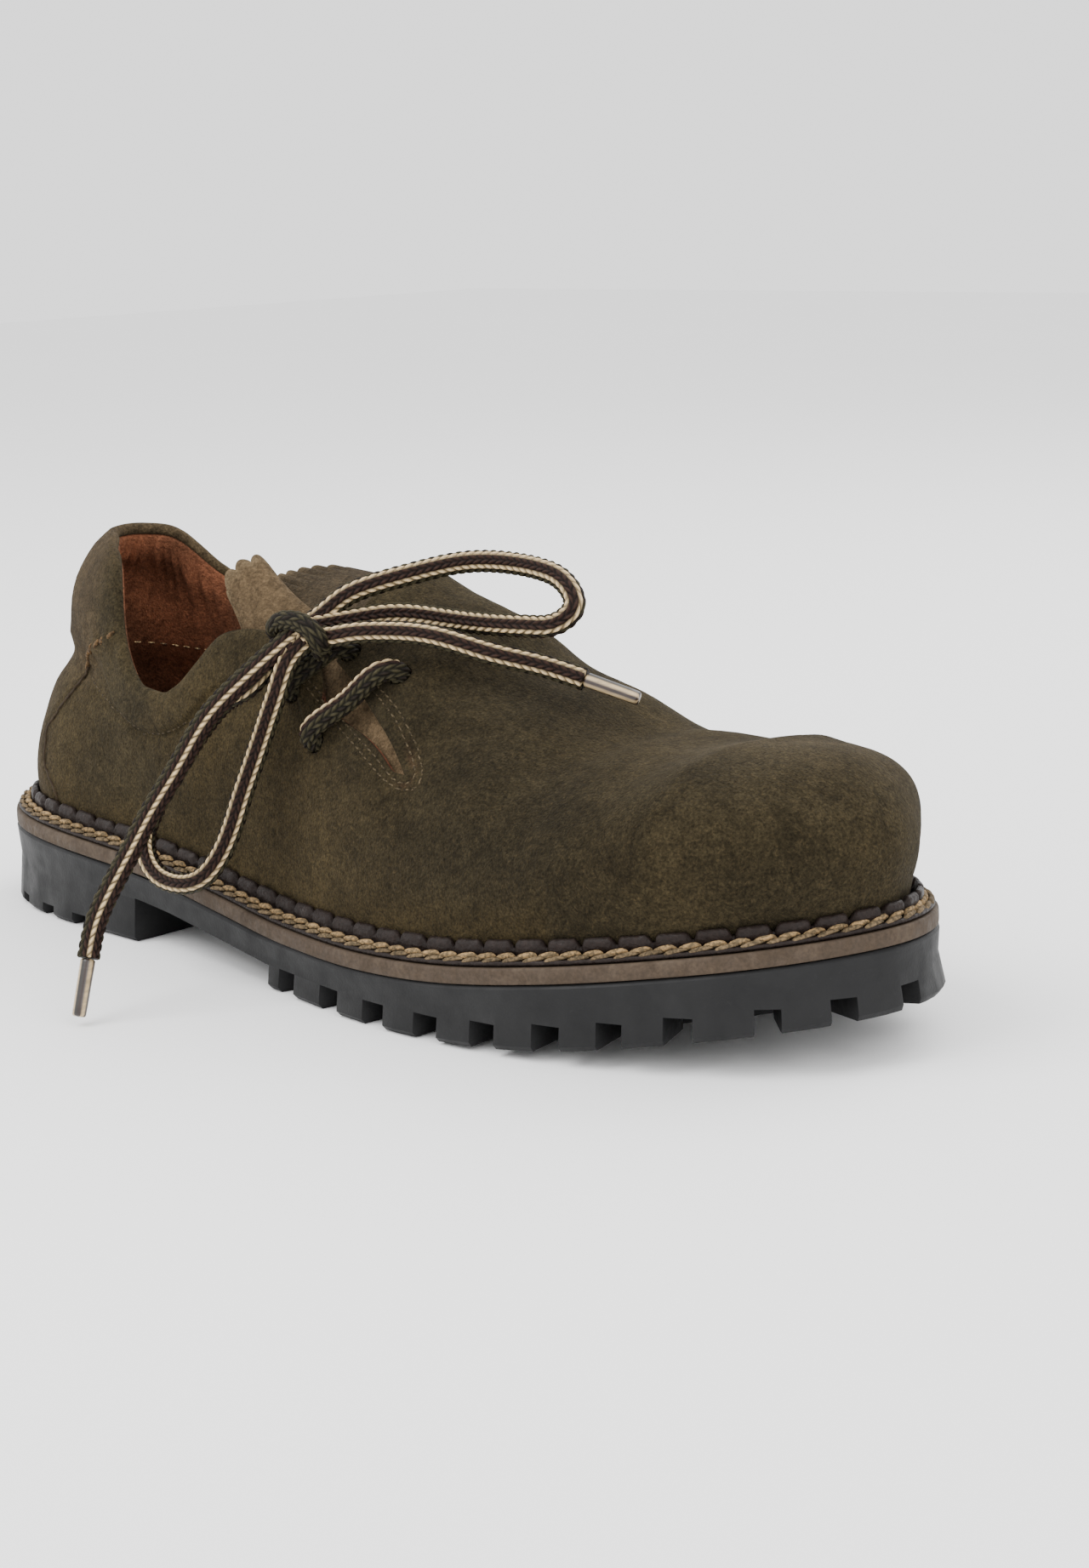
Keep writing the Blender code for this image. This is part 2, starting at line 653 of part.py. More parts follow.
def wall_climbs(shares, first, end, last_fore):
    """Climb of each row in each column of the upper's wall, and its pad."""
    signed = np.where(shares > 0.5, shares - 1, shares)
    top = climb_at(shares, COLLAR.at("top", signed) * COLLAR_RISE)
    seam = climb_at(shares, COLLAR.at("seam", signed) * COLLAR_RISE)
    pad = COLLAR.at("pad", signed) * COLLAR_PAD
    fore = np.zeros(len(shares), bool)
    fore[end : last_fore + 1] = True
    opening = np.zeros(len(shares), bool)
    opening[first:end] = True
    top = np.where(opening, SLIT.at("lower", shares), np.where(fore, crest_climb(shares), top))
    seam = np.where(fore | opening, top * 0.80, seam)
    pad = np.where(fore, 0, pad)
    rows = [seam * f for f in LOW_ROWS] + [mix(seam, top, f) for f in HIGH_ROWS]
    pads = [np.zeros(len(shares))] * len(LOW_ROWS) + [pad * f for f in PAD_ROWS]
    return np.array(rows), np.array(pads)


def upper_skin():
    """Outer and inner points of the upper's sheet on one grid, and its quads."""
    shares, first, end, corner_out, corner_in, throat_in = upper_columns()
    climbs, pads = wall_climbs(shares, first, end, throat_in)
    rows, columns = climbs.shape
    where = [(shares[c], climbs[r, c], pads[r, c]) for r in range(rows) for c in range(columns)]
    faces = ring_faces(columns, rows)
    top_row = (rows - 1) * columns

    grid = np.zeros((FORE_STEPS + 1, TOE_STEPS + 1), int) - 1
    for j in range(TOE_STEPS + 1):
        grid[FORE_STEPS, j] = top_row + corner_out + j
    for i in range(FORE_STEPS + 1):
        grid[i, TOE_STEPS] = top_row + throat_in - i
        if first + i >= end:
            grid[i, 0] = top_row + first + i
        else:
            grid[i, 0] = len(where)
            where.append((shares[first + i], float(SLIT.at("upper", shares[first + i])), 0))

    def plan(index):
        share, climb, _ = where[index]
        edge, foot, low, crown, square, swell = last_frame(np.array(share))
        return foot + (edge - foot) * math.cos(climb * math.pi / 2) ** (2 / float(square))

    edge_a = np.array([plan(k) for k in grid[:, 0]])
    edge_b = np.array([plan(k) for k in grid[:, TOE_STEPS]])
    front = np.array([plan(k) for k in grid[FORE_STEPS]])
    throat = throat_curve(edge_a[0], edge_b[0])
    for i in range(FORE_STEPS):
        for j in range(1, TOE_STEPS):
            u, v = i / FORE_STEPS, j / TOE_STEPS
            flat = mix(edge_a[i], edge_b[i], v) + mix(throat[j], front[j], u)
            corners = mix(mix(edge_a[0], edge_b[0], v), mix(edge_a[-1], edge_b[-1], v), u)
            share, climb = on_last(flat - corners)
            grid[i, j] = len(where)
            where.append((float(share), float(climb), 0))
    for i in range(FORE_STEPS):
        for j in range(TOE_STEPS):
            faces.append((grid[i, j], grid[i + 1, j], grid[i + 1, j + 1], grid[i, j + 1]))
    share, climb, pad = np.array(where).T
    outside = last(share, climb, pad + 1e-9)
    inside = last(share, climb, -WALL - 0.4 * pad)
    inside[:columns, 2] = outside[:columns, 2]
    return outside, inside, faces


# the vamp's rear edge in plan between its two corners: shares of the length and of half the ball's width
THROAT = Table(
    "along across",
    (0.493, -0.35),
    (0.491, -0.17),
    (0.491, 0.0),
    (0.489, 0.13),
    (0.479, 0.235),
    (0.452, 0.305),
    (0.42, 0.345),
)


def throat_curve(start, finish):
    """Plan points of the vamp's rear edge, from the lace opening over the instep to the inner collar."""
    middle = [(along * SOLE_LENGTH, across * BALL_WIDTH / 2) for along, across in THROAT.rows]
    return spline([start, *middle, finish])(np.linspace(0, 1, TOE_STEPS + 1))


def thick_sheet(outside, inside, faces, bulge):
    """Closes a sheet's two sides with a rounded edge along every open border."""
    count = len(outside)
    owner = {}
    for face in faces:
        for a, b in zip(face, face[1:] + face[:1]):
            owner[(a, b)] = owner.get((a, b), 0) + 1
    border = [edge for edge in owner if (edge[1], edge[0]) not in owner]
    outward = {}
    for a, b in border:
        run = outside[b] - outside[a]
        side = np.cross(run, outside[a] - inside[a])
        side /= np.linalg.norm(side)
        for k in (a, b):
            outward[k] = outward.get(k, 0) + side
    points = [*outside, *inside]
    middle = {}
    for k, side in outward.items():
        middle[k] = len(points)
        thick = np.linalg.norm(outside[k] - inside[k])
        side = side / np.linalg.norm(side)
        points.append((outside[k] + inside[k]) / 2 + side * thick * bulge(outside[k]))
    solid = [list(f) for f in faces] + [[i + count for i in reversed(f)] for f in faces]
    for a, b in border:
        solid += [[b, a, middle[a], middle[b]], [middle[b], middle[a], a + count, b + count]]
    return np.array(points), solid


# the lace's holes: place round the last and climb, lower and upper of each pair
LACE_HOLES = Table(
    "pair low_share low_climb high_share high_climb",
    (0, 0.2479, 0.367, 0.2750, 0.620),
    (1, 0.2290, 0.430, 0.2475, 0.600),
)


def hole_frames():
    """Centre on the last and outward normal of each lace hole, in pairs."""
    frames = []
    for pair, low_share, low_climb, high_share, high_climb in LACE_HOLES.rows:
        ends = []
        for share, climb in ((low_share, low_climb), (high_share, high_climb)):
            place = np.array(share), np.array(climb)
            ends.append((last(*place), last_normal(*place)))
        frames.append(ends)
    return frames


def round_cutter(centre, axis, radius, low, high, sides=16):
    axis = axis / np.linalg.norm(axis)
    u = np.cross(axis, (0, 0, 1))
    u /= np.linalg.norm(u)
    v = np.cross(axis, u)
    turn = np.arange(sides) * 2 * math.pi / sides
    ring = [math.cos(a) * u * radius + math.sin(a) * v * radius for a in turn]
    points = [centre + r + axis * low for r in ring] + [centre + r + axis * high for r in ring]
    caps = [list(range(sides))[::-1], list(range(sides, 2 * sides))]
    return points, ring_faces(sides, 2) + caps


def upper():
    outside, inside, faces = upper_skin()
    bulge = lambda p: 0.0 if p[2] < feather(p[0]) + 1 * MM else 0.32
    solid = thick_sheet(outside, inside, faces, bulge)
    shell = new_object("upper", *solid, (0.125, 0.09, 0.05), 0.95, True)
    holes = []
    for pair in hole_frames():
        for point, normal in pair:
            holes.append(round_cutter(point, normal, LACE / 2 + 2 * GAP, -2 * WALL, 2 * WALL))
    cut(shell, "lace_holes", holes)
    return shell


# the tongue's sheet across: from under the quarter to under the vamp
TONGUE_ROWS, TONGUE_COLUMNS = 13, 13


def tongue_sheet():
    """Middle surface of the tongue, rows from its hidden front end to its two loose lobes."""
    depth = WALL + 2 * GAP + TONGUE_THICK / 2 + 0.3 * MM
    throat_x = 0.497 * SOLE_LENGTH
    rows = []
    for i in range(TONGUE_ROWS + 1):
        row = []
        for j in range(TONGUE_COLUMNS + 1):
            v = j / TONGUE_COLUMNS
            end = throat_x - LOBES.at("reach", v) * SOLE_LENGTH
            x = mix(0.668 * SOLE_LENGTH, end, i / TONGUE_ROWS)
            over, on = max(0.0, throat_x - x), max(x, throat_x)
            edge = np.interp(on, (throat_x, 0.67 * SOLE_LENGTH), (-0.66, -0.84))
            y = mix(edge, 0.24, v) * BALL_WIDTH / 2
            share, climb = on_last(np.array([on, y]))
            p = last(share, climb, np.array(-depth))
            back = over / (0.15 * SOLE_LENGTH)
            p = p + np.array([-over, LOBES.at("lean", v) * BALL_WIDTH * back, 0])
            p[2] += LOBES.at("lift", v) * INSTEP_RISE * back**1.6
            row.append(p)
        rows.append(row)
    return np.array(rows)


# the tongue's two lobes, from its outer side to its inner side: how far each stands behind the throat in
# shares of the length, how it rises in shares of the instep, and its lean inwards in shares of the ball's width
LOBES = Table(
    "across reach lift lean",
    (0, 0.130, 0.40, 0.115),
    (0.08, 0.156, 0.32, 0.078),
    (0.155, 0.149, 0.32, 0.066),
    (0.23, 0.137, 0.32, 0.062),
    (0.31, 0.127, 0.24, 0.058),
    (0.385, 0.098, 0.06, 0.01),
    (0.46, 0.130, 0.02, 0.02),
    (0.54, 0.143, 0.006, 0.015),
    (0.66, 0.146, 0, 0.01),
    (0.80, 0.144, -0.01, 0),
    (0.91, 0.135, -0.015, 0),
    (1, 0.110, -0.02, 0),
)


def tongue():
    sheet = tongue_sheet()
    r, c = sheet.shape[:2]
    du, dv = np.gradient(sheet, axis=0), np.gradient(sheet, axis=1)
    normal = np.cross(dv, du)
    normal /= np.linalg.norm(normal, axis=-1)[..., None]
    if normal[r // 2, c // 2, 2] < 0:
        normal = -normal
    outside = (sheet + normal * TONGUE_THICK / 2).reshape(-1, 3)
    inside = (sheet - normal * TONGUE_THICK / 2).reshape(-1, 3)
    faces = ring_faces(c, r, closed=False)
    solid = thick_sheet(outside, inside, faces, lambda p: 0.3)
    return new_object("tongue", *solid, (0.21, 0.165, 0.10), 0.95, True)


def tube(name, route, width, colour, count=None, sides=2, smooth_ends=False):
    """Round cord along a smooth curve through the route's points."""
    curve = bpy.data.curves.new(name, "CURVE")
    curve.dimensions = "3D"
    curve.bevel_depth = width / 2
    curve.bevel_resolution = sides
    curve.use_fill_caps = True
    route = np.asarray(route, float)
    length = float(np.sum(np.linalg.norm(np.diff(route, axis=0), axis=1)))
    count = count or max(4, int(length / (2.0 * width)) + 1)
    points = spline(route)(np.linspace(0, 1, count))
    line = curve.splines.new("POLY")
    line.points.add(count - 1)
    for target, p in zip(line.points, points):
        target.co = (*p, 1)
    line.use_smooth = True
    obj = bpy.data.objects.new(name, curve)
    bpy.context.scene.collection.objects.link(obj)
    curve.materials.append(plain(name, colour, 0.9))
    return obj, points


def lace_bars():
    """The lace over the opening: each bar rises out of one hole and drops into the other."""
    bars = []
    for name, (low, high) in zip(("lace_bar", "lace_bar_top"), hole_frames()):
        (a, na), (b, nb) = low, high
        over = (b - a) / np.linalg.norm(b - a)
        lift, turn = LACE / 2 + 0.9 * MM, 0.4 * LACE
        route = [
            a - na * (WALL - 0.2 * MM),
            a - na * 0.4 * WALL,
            a + na * 0.9 * MM,
            a + na * lift + over * turn * 0.8,
            mix(a, b, 0.5) + (na + nb) / 2 * (lift + 0.9 * MM),
            b + nb * lift - over * turn * 0.8,
            b + nb * 0.9 * MM,
            b - nb * 0.4 * WALL,
            b - nb * (WALL - 0.2 * MM),
        ]
        bars.append(tube(name, route, LACE, (0.05, 0.03, 0.025), 15)[0])
    return bars


COLOUR_LACE = (0.05, 0.03, 0.025)
KNOT = np.array([145, -33, 91.3]) * MM
KNOT_SIZE = np.array([10, 8, 5.4]) * MM
KNOT_LEAN = np.array([[0.86, 0.42, -0.28], [-0.36, 0.90, 0.24], [0.36, -0.10, 0.93]])

# routes of the free lace, in millimetres along, across and up, from the knot outwards
LOOP_REAR = (
    (139, -38, 85), (135.5, -42, 78), (129.5, -45, 70.5), (121.5, -47.5, 62), (113, -49, 51.5),
    (106, -51, 41), (104, -53, 33), (108, -55, 28), (119, -56.5, 25), (130, -55.5, 28), (135, -52, 36.5),
    (138, -49, 47.5), (141, -46.5, 57.5), (145, -45, 67.5), (149, -44.5, 76), (149.5, -42.5, 83),
)
LOOP_FRONT = (
    (153.5, -29, 96), (160, -22.5, 99), (167, -15, 101.5), (177, -8, 104), (190, -5, 104.5), (202, -5, 103.5),
    (211, -6.5, 100.5), (214.5, -8.5, 96), (211.5, -10.5, 92.5), (204, -12.5, 91.2), (192, -14.5, 91),
    (177.5, -16.5, 91.5), (166, -21, 92.2), (158, -28, 91),
)
END_REAR = (
    (140.5, -45, 87.5), (139, -51, 79), (135.5, -57, 68), (132, -63, 57.5), (129.5, -70, 47.5),
    (129, -77, 38.5), (129, -84, 30), (128.5, -88.5, 22.5), (129.5, -92, 15),
)
END_FRONT = (
    (156.5, -36.5, 87.8), (163, -33.6, 88.8), (171, -28.7, 89.3), (184, -24, 88.5), (196, -18.5, 85),
    (207, -12, 82), (217, -8, 79),
)


def knot():
    """The bow's knot, a rounded lump that the loops and ends leave."""
    points, faces = [], []
    rings, sides = 7, 12
    for r in range(1, rings):
        tilt = math.pi * r / rings
        for s in range(sides):
            turn = 2 * math.pi * s / sides
            across = math.sin(tilt)
            unit = np.array([across * math.cos(turn), across * math.sin(turn), math.cos(tilt)])
            points.append(KNOT + (unit * KNOT_SIZE) @ KNOT_LEAN)
    count = len(points)
    top = np.array([0, 0, KNOT_SIZE[2]]) @ KNOT_LEAN
    points += [KNOT + top, KNOT - top]
    faces += ring_faces(sides, rings - 1)
    for s in range(sides):
        d = (s + 1) % sides
        faces.append((count, d, s))
        faces.append((count + 1, count - sides + s, count - sides + d))
    return new_object("lace_knot", points, faces, COLOUR_LACE, 0.9, True)


def run_to_knot(route):
    """The route with its first point moved along its own line until the cord's end all but meets the knot."""
    start, ahead = route[0], route[0] - route[1]
    ahead = ahead / np.linalg.norm(ahead)
    side = np.cross(ahead, (0, 0, 1))
    side /= np.linalg.norm(side)
    up = np.cross(side, ahead)
    turn = np.linspace(0, 2 * math.pi, 16, endpoint=False)[:, None]
    rim = (np.cos(turn) * side + np.sin(turn) * up) * LACE / 2
    for step in np.arange(-4, 12, 0.05) * MM:
        out = (start + ahead * step + rim - KNOT) @ np.linalg.inv(KNOT_LEAN)
        if np.linalg.norm(out / (KNOT_SIZE + GAP), axis=1).min() < 1:
            break
    return np.vstack([start + ahead * step, route[1:]])


def free_lace():
    knot()
    for name, route in (("lace_loop_rear", LOOP_REAR), ("lace_loop_front", LOOP_FRONT)):
        route = run_to_knot(run_to_knot(np.array(route) * MM)[::-1])[::-1]
        tube(name, route, LACE, COLOUR_LACE)
    for name, route in (("lace_end_rear", END_REAR), ("lace_end_front", END_FRONT)):
        points = tube(name, run_to_knot(np.array(route) * MM), LACE, COLOUR_LACE)[1]
        ahead = points[-1] - points[-2]
        ahead /= np.linalg.norm(ahead)
        start = points[-1] + ahead * GAP
        tube(
            name.replace("lace_end", "aglet"),
            [start, start + ahead * AGLET_LENGTH / 2, start + ahead * AGLET_LENGTH],
            AGLET_WIDTH,
            (0.12, 0.08, 0.05),
            3,
        )


def centre(objects):
    """Puts the middle of the solids' box at the origin, in plan."""
    bpy.context.view_layer.update()
    graph = bpy.context.evaluated_depsgraph_get()
    corners = []
    for obj in objects:
        solid = obj.evaluated_get(graph)
        mesh = solid.to_mesh()
        xyz = np.empty(len(mesh.vertices) * 3)
        mesh.vertices.foreach_get("co", xyz)
        xyz = xyz.reshape(-1, 3)
        corners += [xyz.min(0), xyz.max(0)]
        solid.to_mesh_clear()
    low, high = np.min(corners, 0), np.max(corners, 0)
    shift = -(low + high) / 2
    shift[2] = -low[2]
    for obj in bpy.context.scene.objects:
        if obj.type == "MESH":
            for vertex in obj.data.vertices:
                vertex.co = [a + b for a, b in zip(vertex.co, shift)]
        else:
            for point in obj.data.splines[0].points:
                point.co = [*(a + b for a, b in zip(point.co[:3], shift)), 1]
    return shift


def main():
    for old in list(bpy.data.objects):
        bpy.data.objects.remove(old)
    solids = [outsole(), midsole(), welt(), insole(), upper(), tongue(), *lace_bars()]
    free_lace()
    centre(solids)


main()
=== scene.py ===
"""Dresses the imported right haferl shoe: roughout upper, lining, tongue, storm welt, sole and braided lace."""

import logging
import math
from collections.abc import Callable, Sequence
from dataclasses import dataclass
from enum import Enum

import bmesh
import bpy
import numpy as np
from mathutils import Matrix, Vector, noise
from mathutils.bvhtree import BVHTree


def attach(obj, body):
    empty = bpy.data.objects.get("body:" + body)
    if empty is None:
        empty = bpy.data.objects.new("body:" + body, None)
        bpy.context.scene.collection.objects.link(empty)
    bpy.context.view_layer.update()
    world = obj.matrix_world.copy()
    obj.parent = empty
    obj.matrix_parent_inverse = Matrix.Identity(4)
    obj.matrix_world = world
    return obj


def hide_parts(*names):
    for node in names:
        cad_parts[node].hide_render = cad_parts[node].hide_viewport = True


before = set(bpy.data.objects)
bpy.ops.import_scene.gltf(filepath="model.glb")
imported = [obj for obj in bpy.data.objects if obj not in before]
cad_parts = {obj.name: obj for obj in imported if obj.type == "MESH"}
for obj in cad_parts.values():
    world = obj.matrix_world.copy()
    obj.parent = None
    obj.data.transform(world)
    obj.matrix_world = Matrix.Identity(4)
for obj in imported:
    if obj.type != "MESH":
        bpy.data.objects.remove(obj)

LOG = logging.getLogger("haferl_shoe")
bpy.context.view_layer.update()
MM = 0.001
GAP = 0.3 * MM
Array = np.ndarray
Colour = tuple[float, float, float]

# an offset that leaves a point where it is, points handled at a time, and points nearer than this are one
TOUCH, BLOCK, MERGE = 1e-9, 1000, 2e-6

# from the frame in which the last is drawn, heel's back at x = 0, to the row frame
SHIFT = np.array([-152.232, 1.356, 0.001]) * MM


class Table:
    """Rows of named columns. Each column is read as a smooth curve over the first one."""

    def __init__(self, names: str, *rows: Sequence[float]) -> None:
        """Keeps the rows.

        Args:
            names: the columns' names, the first one being what the others are read over.
            rows: one sequence of numbers for each row.
        """
        self.names = names.split()
        self.rows = np.array(rows, float)

    def at(self, name: str, x: Array | float) -> Array:
        """Reads a column.

        Args:
            name: the column.
            x: where along the first column to read it.

        Returns:
            The column's values there.
        """
        t, v = self.rows[:, 0], self.rows[:, self.names.index(name)]
        h = np.diff(t)
        slope = np.diff(v) / h
        m = np.concatenate([slope[:1], (slope[:-1] + slope[1:]) / 2, slope[-1:]])
        m[1:-1][slope[:-1] * slope[1:] <= 0] = 0
        x = np.clip(np.asarray(x, float), t[0], t[-1])
        i = np.clip(np.searchsorted(t, x, side="right") - 1, 0, len(t) - 2)
        u = (x - t[i]) / h[i]
        start = v[i] * (1 + 2 * u) * (1 - u) ** 2 + m[i] * h[i] * u * (1 - u) ** 2
        return start + v[i + 1] * u * u * (3 - 2 * u) + m[i + 1] * h[i] * u * u * (u - 1)


OUTLINE = Table(
    "along outer inner heel waist ball",
    (0.016, 0.46, 0.46, 1, 0, 0),
    (0.055, 0.78, 0.77, 1, 0, 0),
    (0.132, 0.995, 0.965, 1, 0, 0),
    (0.248, 1.06, 0.95, 1, 0, 0),
    (0.364, 1.10, 0.90, 0, 1, 0),
    (0.477, 1.25, 0.98, 0, 1, 0),
    (0.596, 1.012, 0.885, 0, 0, 1),
    (0.695, 1.025, 0.975, 0, 0, 1),
    (0.788, 0.955, 0.955, 0, 0, 1),
    (0.868, 0.80, 0.84, 0, 0, 1),
    (0.938, 0.56, 0.63, 0, 0, 1),
    (0.983, 0.26, 0.36, 0, 0, 1),
)
SIDE = Table(
    "along heel toe lift",
    (0, 1, 0, 0.03),
    (0.03, 0.965, 0, 0),
    (0.15, 0.82, 0, 0),
    (0.28, 0.58, 0, 0),
    (0.40, 0.19, 0, 0),
    (0.50, 0, 0, 0),
    (0.60, 0, 0.014, 0),
    (0.695, 0, 0.13, 0.03),
    (0.795, 0, 0.39, 0.21),
    (0.895, 0, 0.69, 0.54),
    (1, 0, 1, 0.86),
)
LAST = Table(
    "along instep toe middle outer inner swell_out swell_in",
    (0.12, 1.224, 0, 0, 2.3, 2.3, 0, 0),
    (0.25, 1.24, 0, 0.02, 2.3, 2.3, 0.03, 0),
    (0.35, 1.19, 0, 0.06, 2.2, 2.2, 0.04, 0),
    (0.45, 1.065, 0, 0.09, 2.1, 2.2, 0.04, 0),
    (0.52, 0.952, 0, 0.11, 2.1, 2.2, 0.04, 0),
    (0.60, 0.816, 0, 0.12, 2.2, 2.3, 0.04, 0.02),
    (0.68, 0.42, 0.455, 0.12, 2.4, 2.5, 0.05, 0.03),
    (0.76, 0, 0.985, 0.10, 2.8, 2.9, 0.06, 0.04),
    (0.82, 0, 0.935, 0.075, 3.2, 3.2, 0.08, 0.06),
    (0.865, 0, 0.965, 0.055, 3.6, 3.5, 0.11, 0.09),
)
BACK_LINE = Table(
    "up inward",
    (0, 0),
    (0.13, -0.025),
    (0.26, 0.02),
    (0.46, 0.19),
    (0.58, 0.36),
    (0.68, 0.35),
    (0.80, 0.335),
    (0.90, 0.385),
    (0.98, 0.475),
    (1.05, 0.575),
    (1.20, 0.68),
    (1.40, 0.77),
)
COLLAR = Table(
    "share top seam pad",
    (-0.30, 1.02, 0.80, 0),
    (-0.243, 1.00, 0.80, 0),
    (-0.215, 0.99, 0.82, 0.4),
    (-0.1975, 0.97, 0.80, 0.6),
    (-0.1875, 0.93, 0.77, 0.8),
    (-0.177, 0.86, 0.70, 0.8),
    (-0.166, 0.74, 0.57, 0.8),
    (-0.154, 0.64, 0.49, 0.8),
    (-0.142, 0.62, 0.46, 0.8),
    (-0.133, 0.65, 0.48, 0.8),
    (-0.124, 0.71, 0.51, 0.8),
    (-0.115, 0.79, 0.54, 0.9),
    (-0.106, 0.85, 0.565, 1.0),
    (-0.098, 0.89, 0.58, 1.1),
    (-0.088, 0.942, 0.59, 1.15),
    (-0.078, 0.978, 0.59, 1.2),
    (-0.051, 1.0, 0.59, 1.2),
    (0, 1.0, 0.59, 1.2),
    (0.06, 1.0, 0.59, 1.2),
    (0.095, 0.995, 0.59, 1.15),
    (0.110, 0.95, 0.575, 1.0),
    (0.117, 0.86, 0.53, 0.9),
    (0.124, 0.715, 0.48, 0.8),
    (0.133, 0.61, 0.44, 0.8),
    (0.142, 0.565, 0.425, 0.8),
    (0.154, 0.565, 0.43, 0.8),
    (0.166, 0.62, 0.475, 0.8),
    (0.176, 0.72, 0.55, 0.8),
    (0.185, 0.815, 0.635, 0.8),
    (0.195, 0.855, 0.69, 0.8),
    (0.205, 0.868, 0.71, 0.75),
    (0.2255, 0.88, 0.73, 0.6),
    (0.2438, 0.73, 0.60, 0.3),
    (0.30, 0.54, 0.44, 0),
)
SLIT = Table(
    "share lower upper",
    (0.2438, 0.455, 0.557),
    (0.2535, 0.447, 0.545),
    (0.2632, 0.442, 0.523),
    (0.2736, 0.434, 0.495),
    (0.2833, 0.420, 0.470),
    (0.2915, 0.406, 0.446),
    (0.2979, 0.418, 0.418),
)
# the throat's rim from outer to inner side: shares of the length and of half the ball's width
THROAT = (
    (0.493, -0.35), (0.491, -0.17), (0.491, 0.0), (0.489, 0.13), (0.479, 0.235), (0.452, 0.305),
    (0.42, 0.345),
)


def mix(a: Array | float, b: Array | float, t: Array | float) -> Array:
    """Between a at t = 0 and b at t = 1."""
    return a * (1 - t) + b * t


def smooth(t: Array | float) -> Array:
    """An even step from 0 to 1."""
    t = np.clip(t, 0, 1)
    return t * t * (3 - 2 * t)


def bell(distance: Array, width: float) -> Array:
    """A soft hump, 1 in the middle."""
    return np.exp(-((distance / width) ** 2))


def waves(points: Array, scale: float, shift: float = 0.0) -> Array:
    """Smooth noise at each point, of a scale in repeats per metre."""
    return np.array([noise.noise(Vector(p * scale + shift)) for p in points])


def both_sides(line: Sequence) -> tuple[Sequence, Sequence]:
    """A line of shares and climbs on the outer side, and its twin on the inner side."""
    return line, [(1 - s, c) for s, c in line]


def unit(v: Array) -> Array:
    """The directions of vectors."""
    return v / np.maximum(np.linalg.norm(v, axis=-1), 1e-12)[..., None]


def spline(points: Sequence, closed: bool = False) -> Callable[[Array], Array]:
    """A cubic curve through points.

    Args:
        points: what it passes through, spaced by their own distances.
        closed: whether it comes back to the first one.

    Returns:
        A function that reads it at shares of its length from 0 to 1.
    """
    p = np.asarray(points, float)
    if closed:
        p = np.vstack([p, p[:1]])
    t = np.concatenate([[0], np.cumsum(np.linalg.norm(np.diff(p, axis=0), axis=1))])
    n, h = len(p), np.diff(t)
    a, b = np.zeros((n, n)), np.zeros((n, p.shape[1]))
    for i in range(1, n - 1):
        a[i, i - 1 : i + 2] = h[i - 1], 2 * (h[i - 1] + h[i]), h[i]
        b[i] = 6 * ((p[i + 1] - p[i]) / h[i] - (p[i] - p[i - 1]) / h[i - 1])
    if closed:
        a[0, 0], a[0, 1], a[0, n - 2] = 2 * (h[0] + h[-1]), h[0], h[-1]
        b[0] = 6 * ((p[1] - p[0]) / h[0] - (p[0] - p[n - 2]) / h[-1])
        a[n - 1, n - 1], a[n - 1, 0] = 1, -1
    else:
        a[0, 0] = a[n - 1, n - 1] = 1
    m = np.linalg.solve(a, b)

    def at(share: Array) -> Array:
        """The points at these shares of the length."""
        x = np.clip(np.asarray(share, float), 0, 1) * t[-1]
        i = np.clip(np.searchsorted(t, x, side="right") - 1, 0, n - 2)
        u, w, hi = (x - t[i])[..., None], (t[i + 1] - x)[..., None], h[i][..., None]
        bend = (m[i] * w**3 + m[i + 1] * u**3) / (6 * hi)
        return bend + (p[i] / hi - m[i] * hi / 6) * w + (p[i + 1] / hi - m[i + 1] * hi / 6) * u

    return at


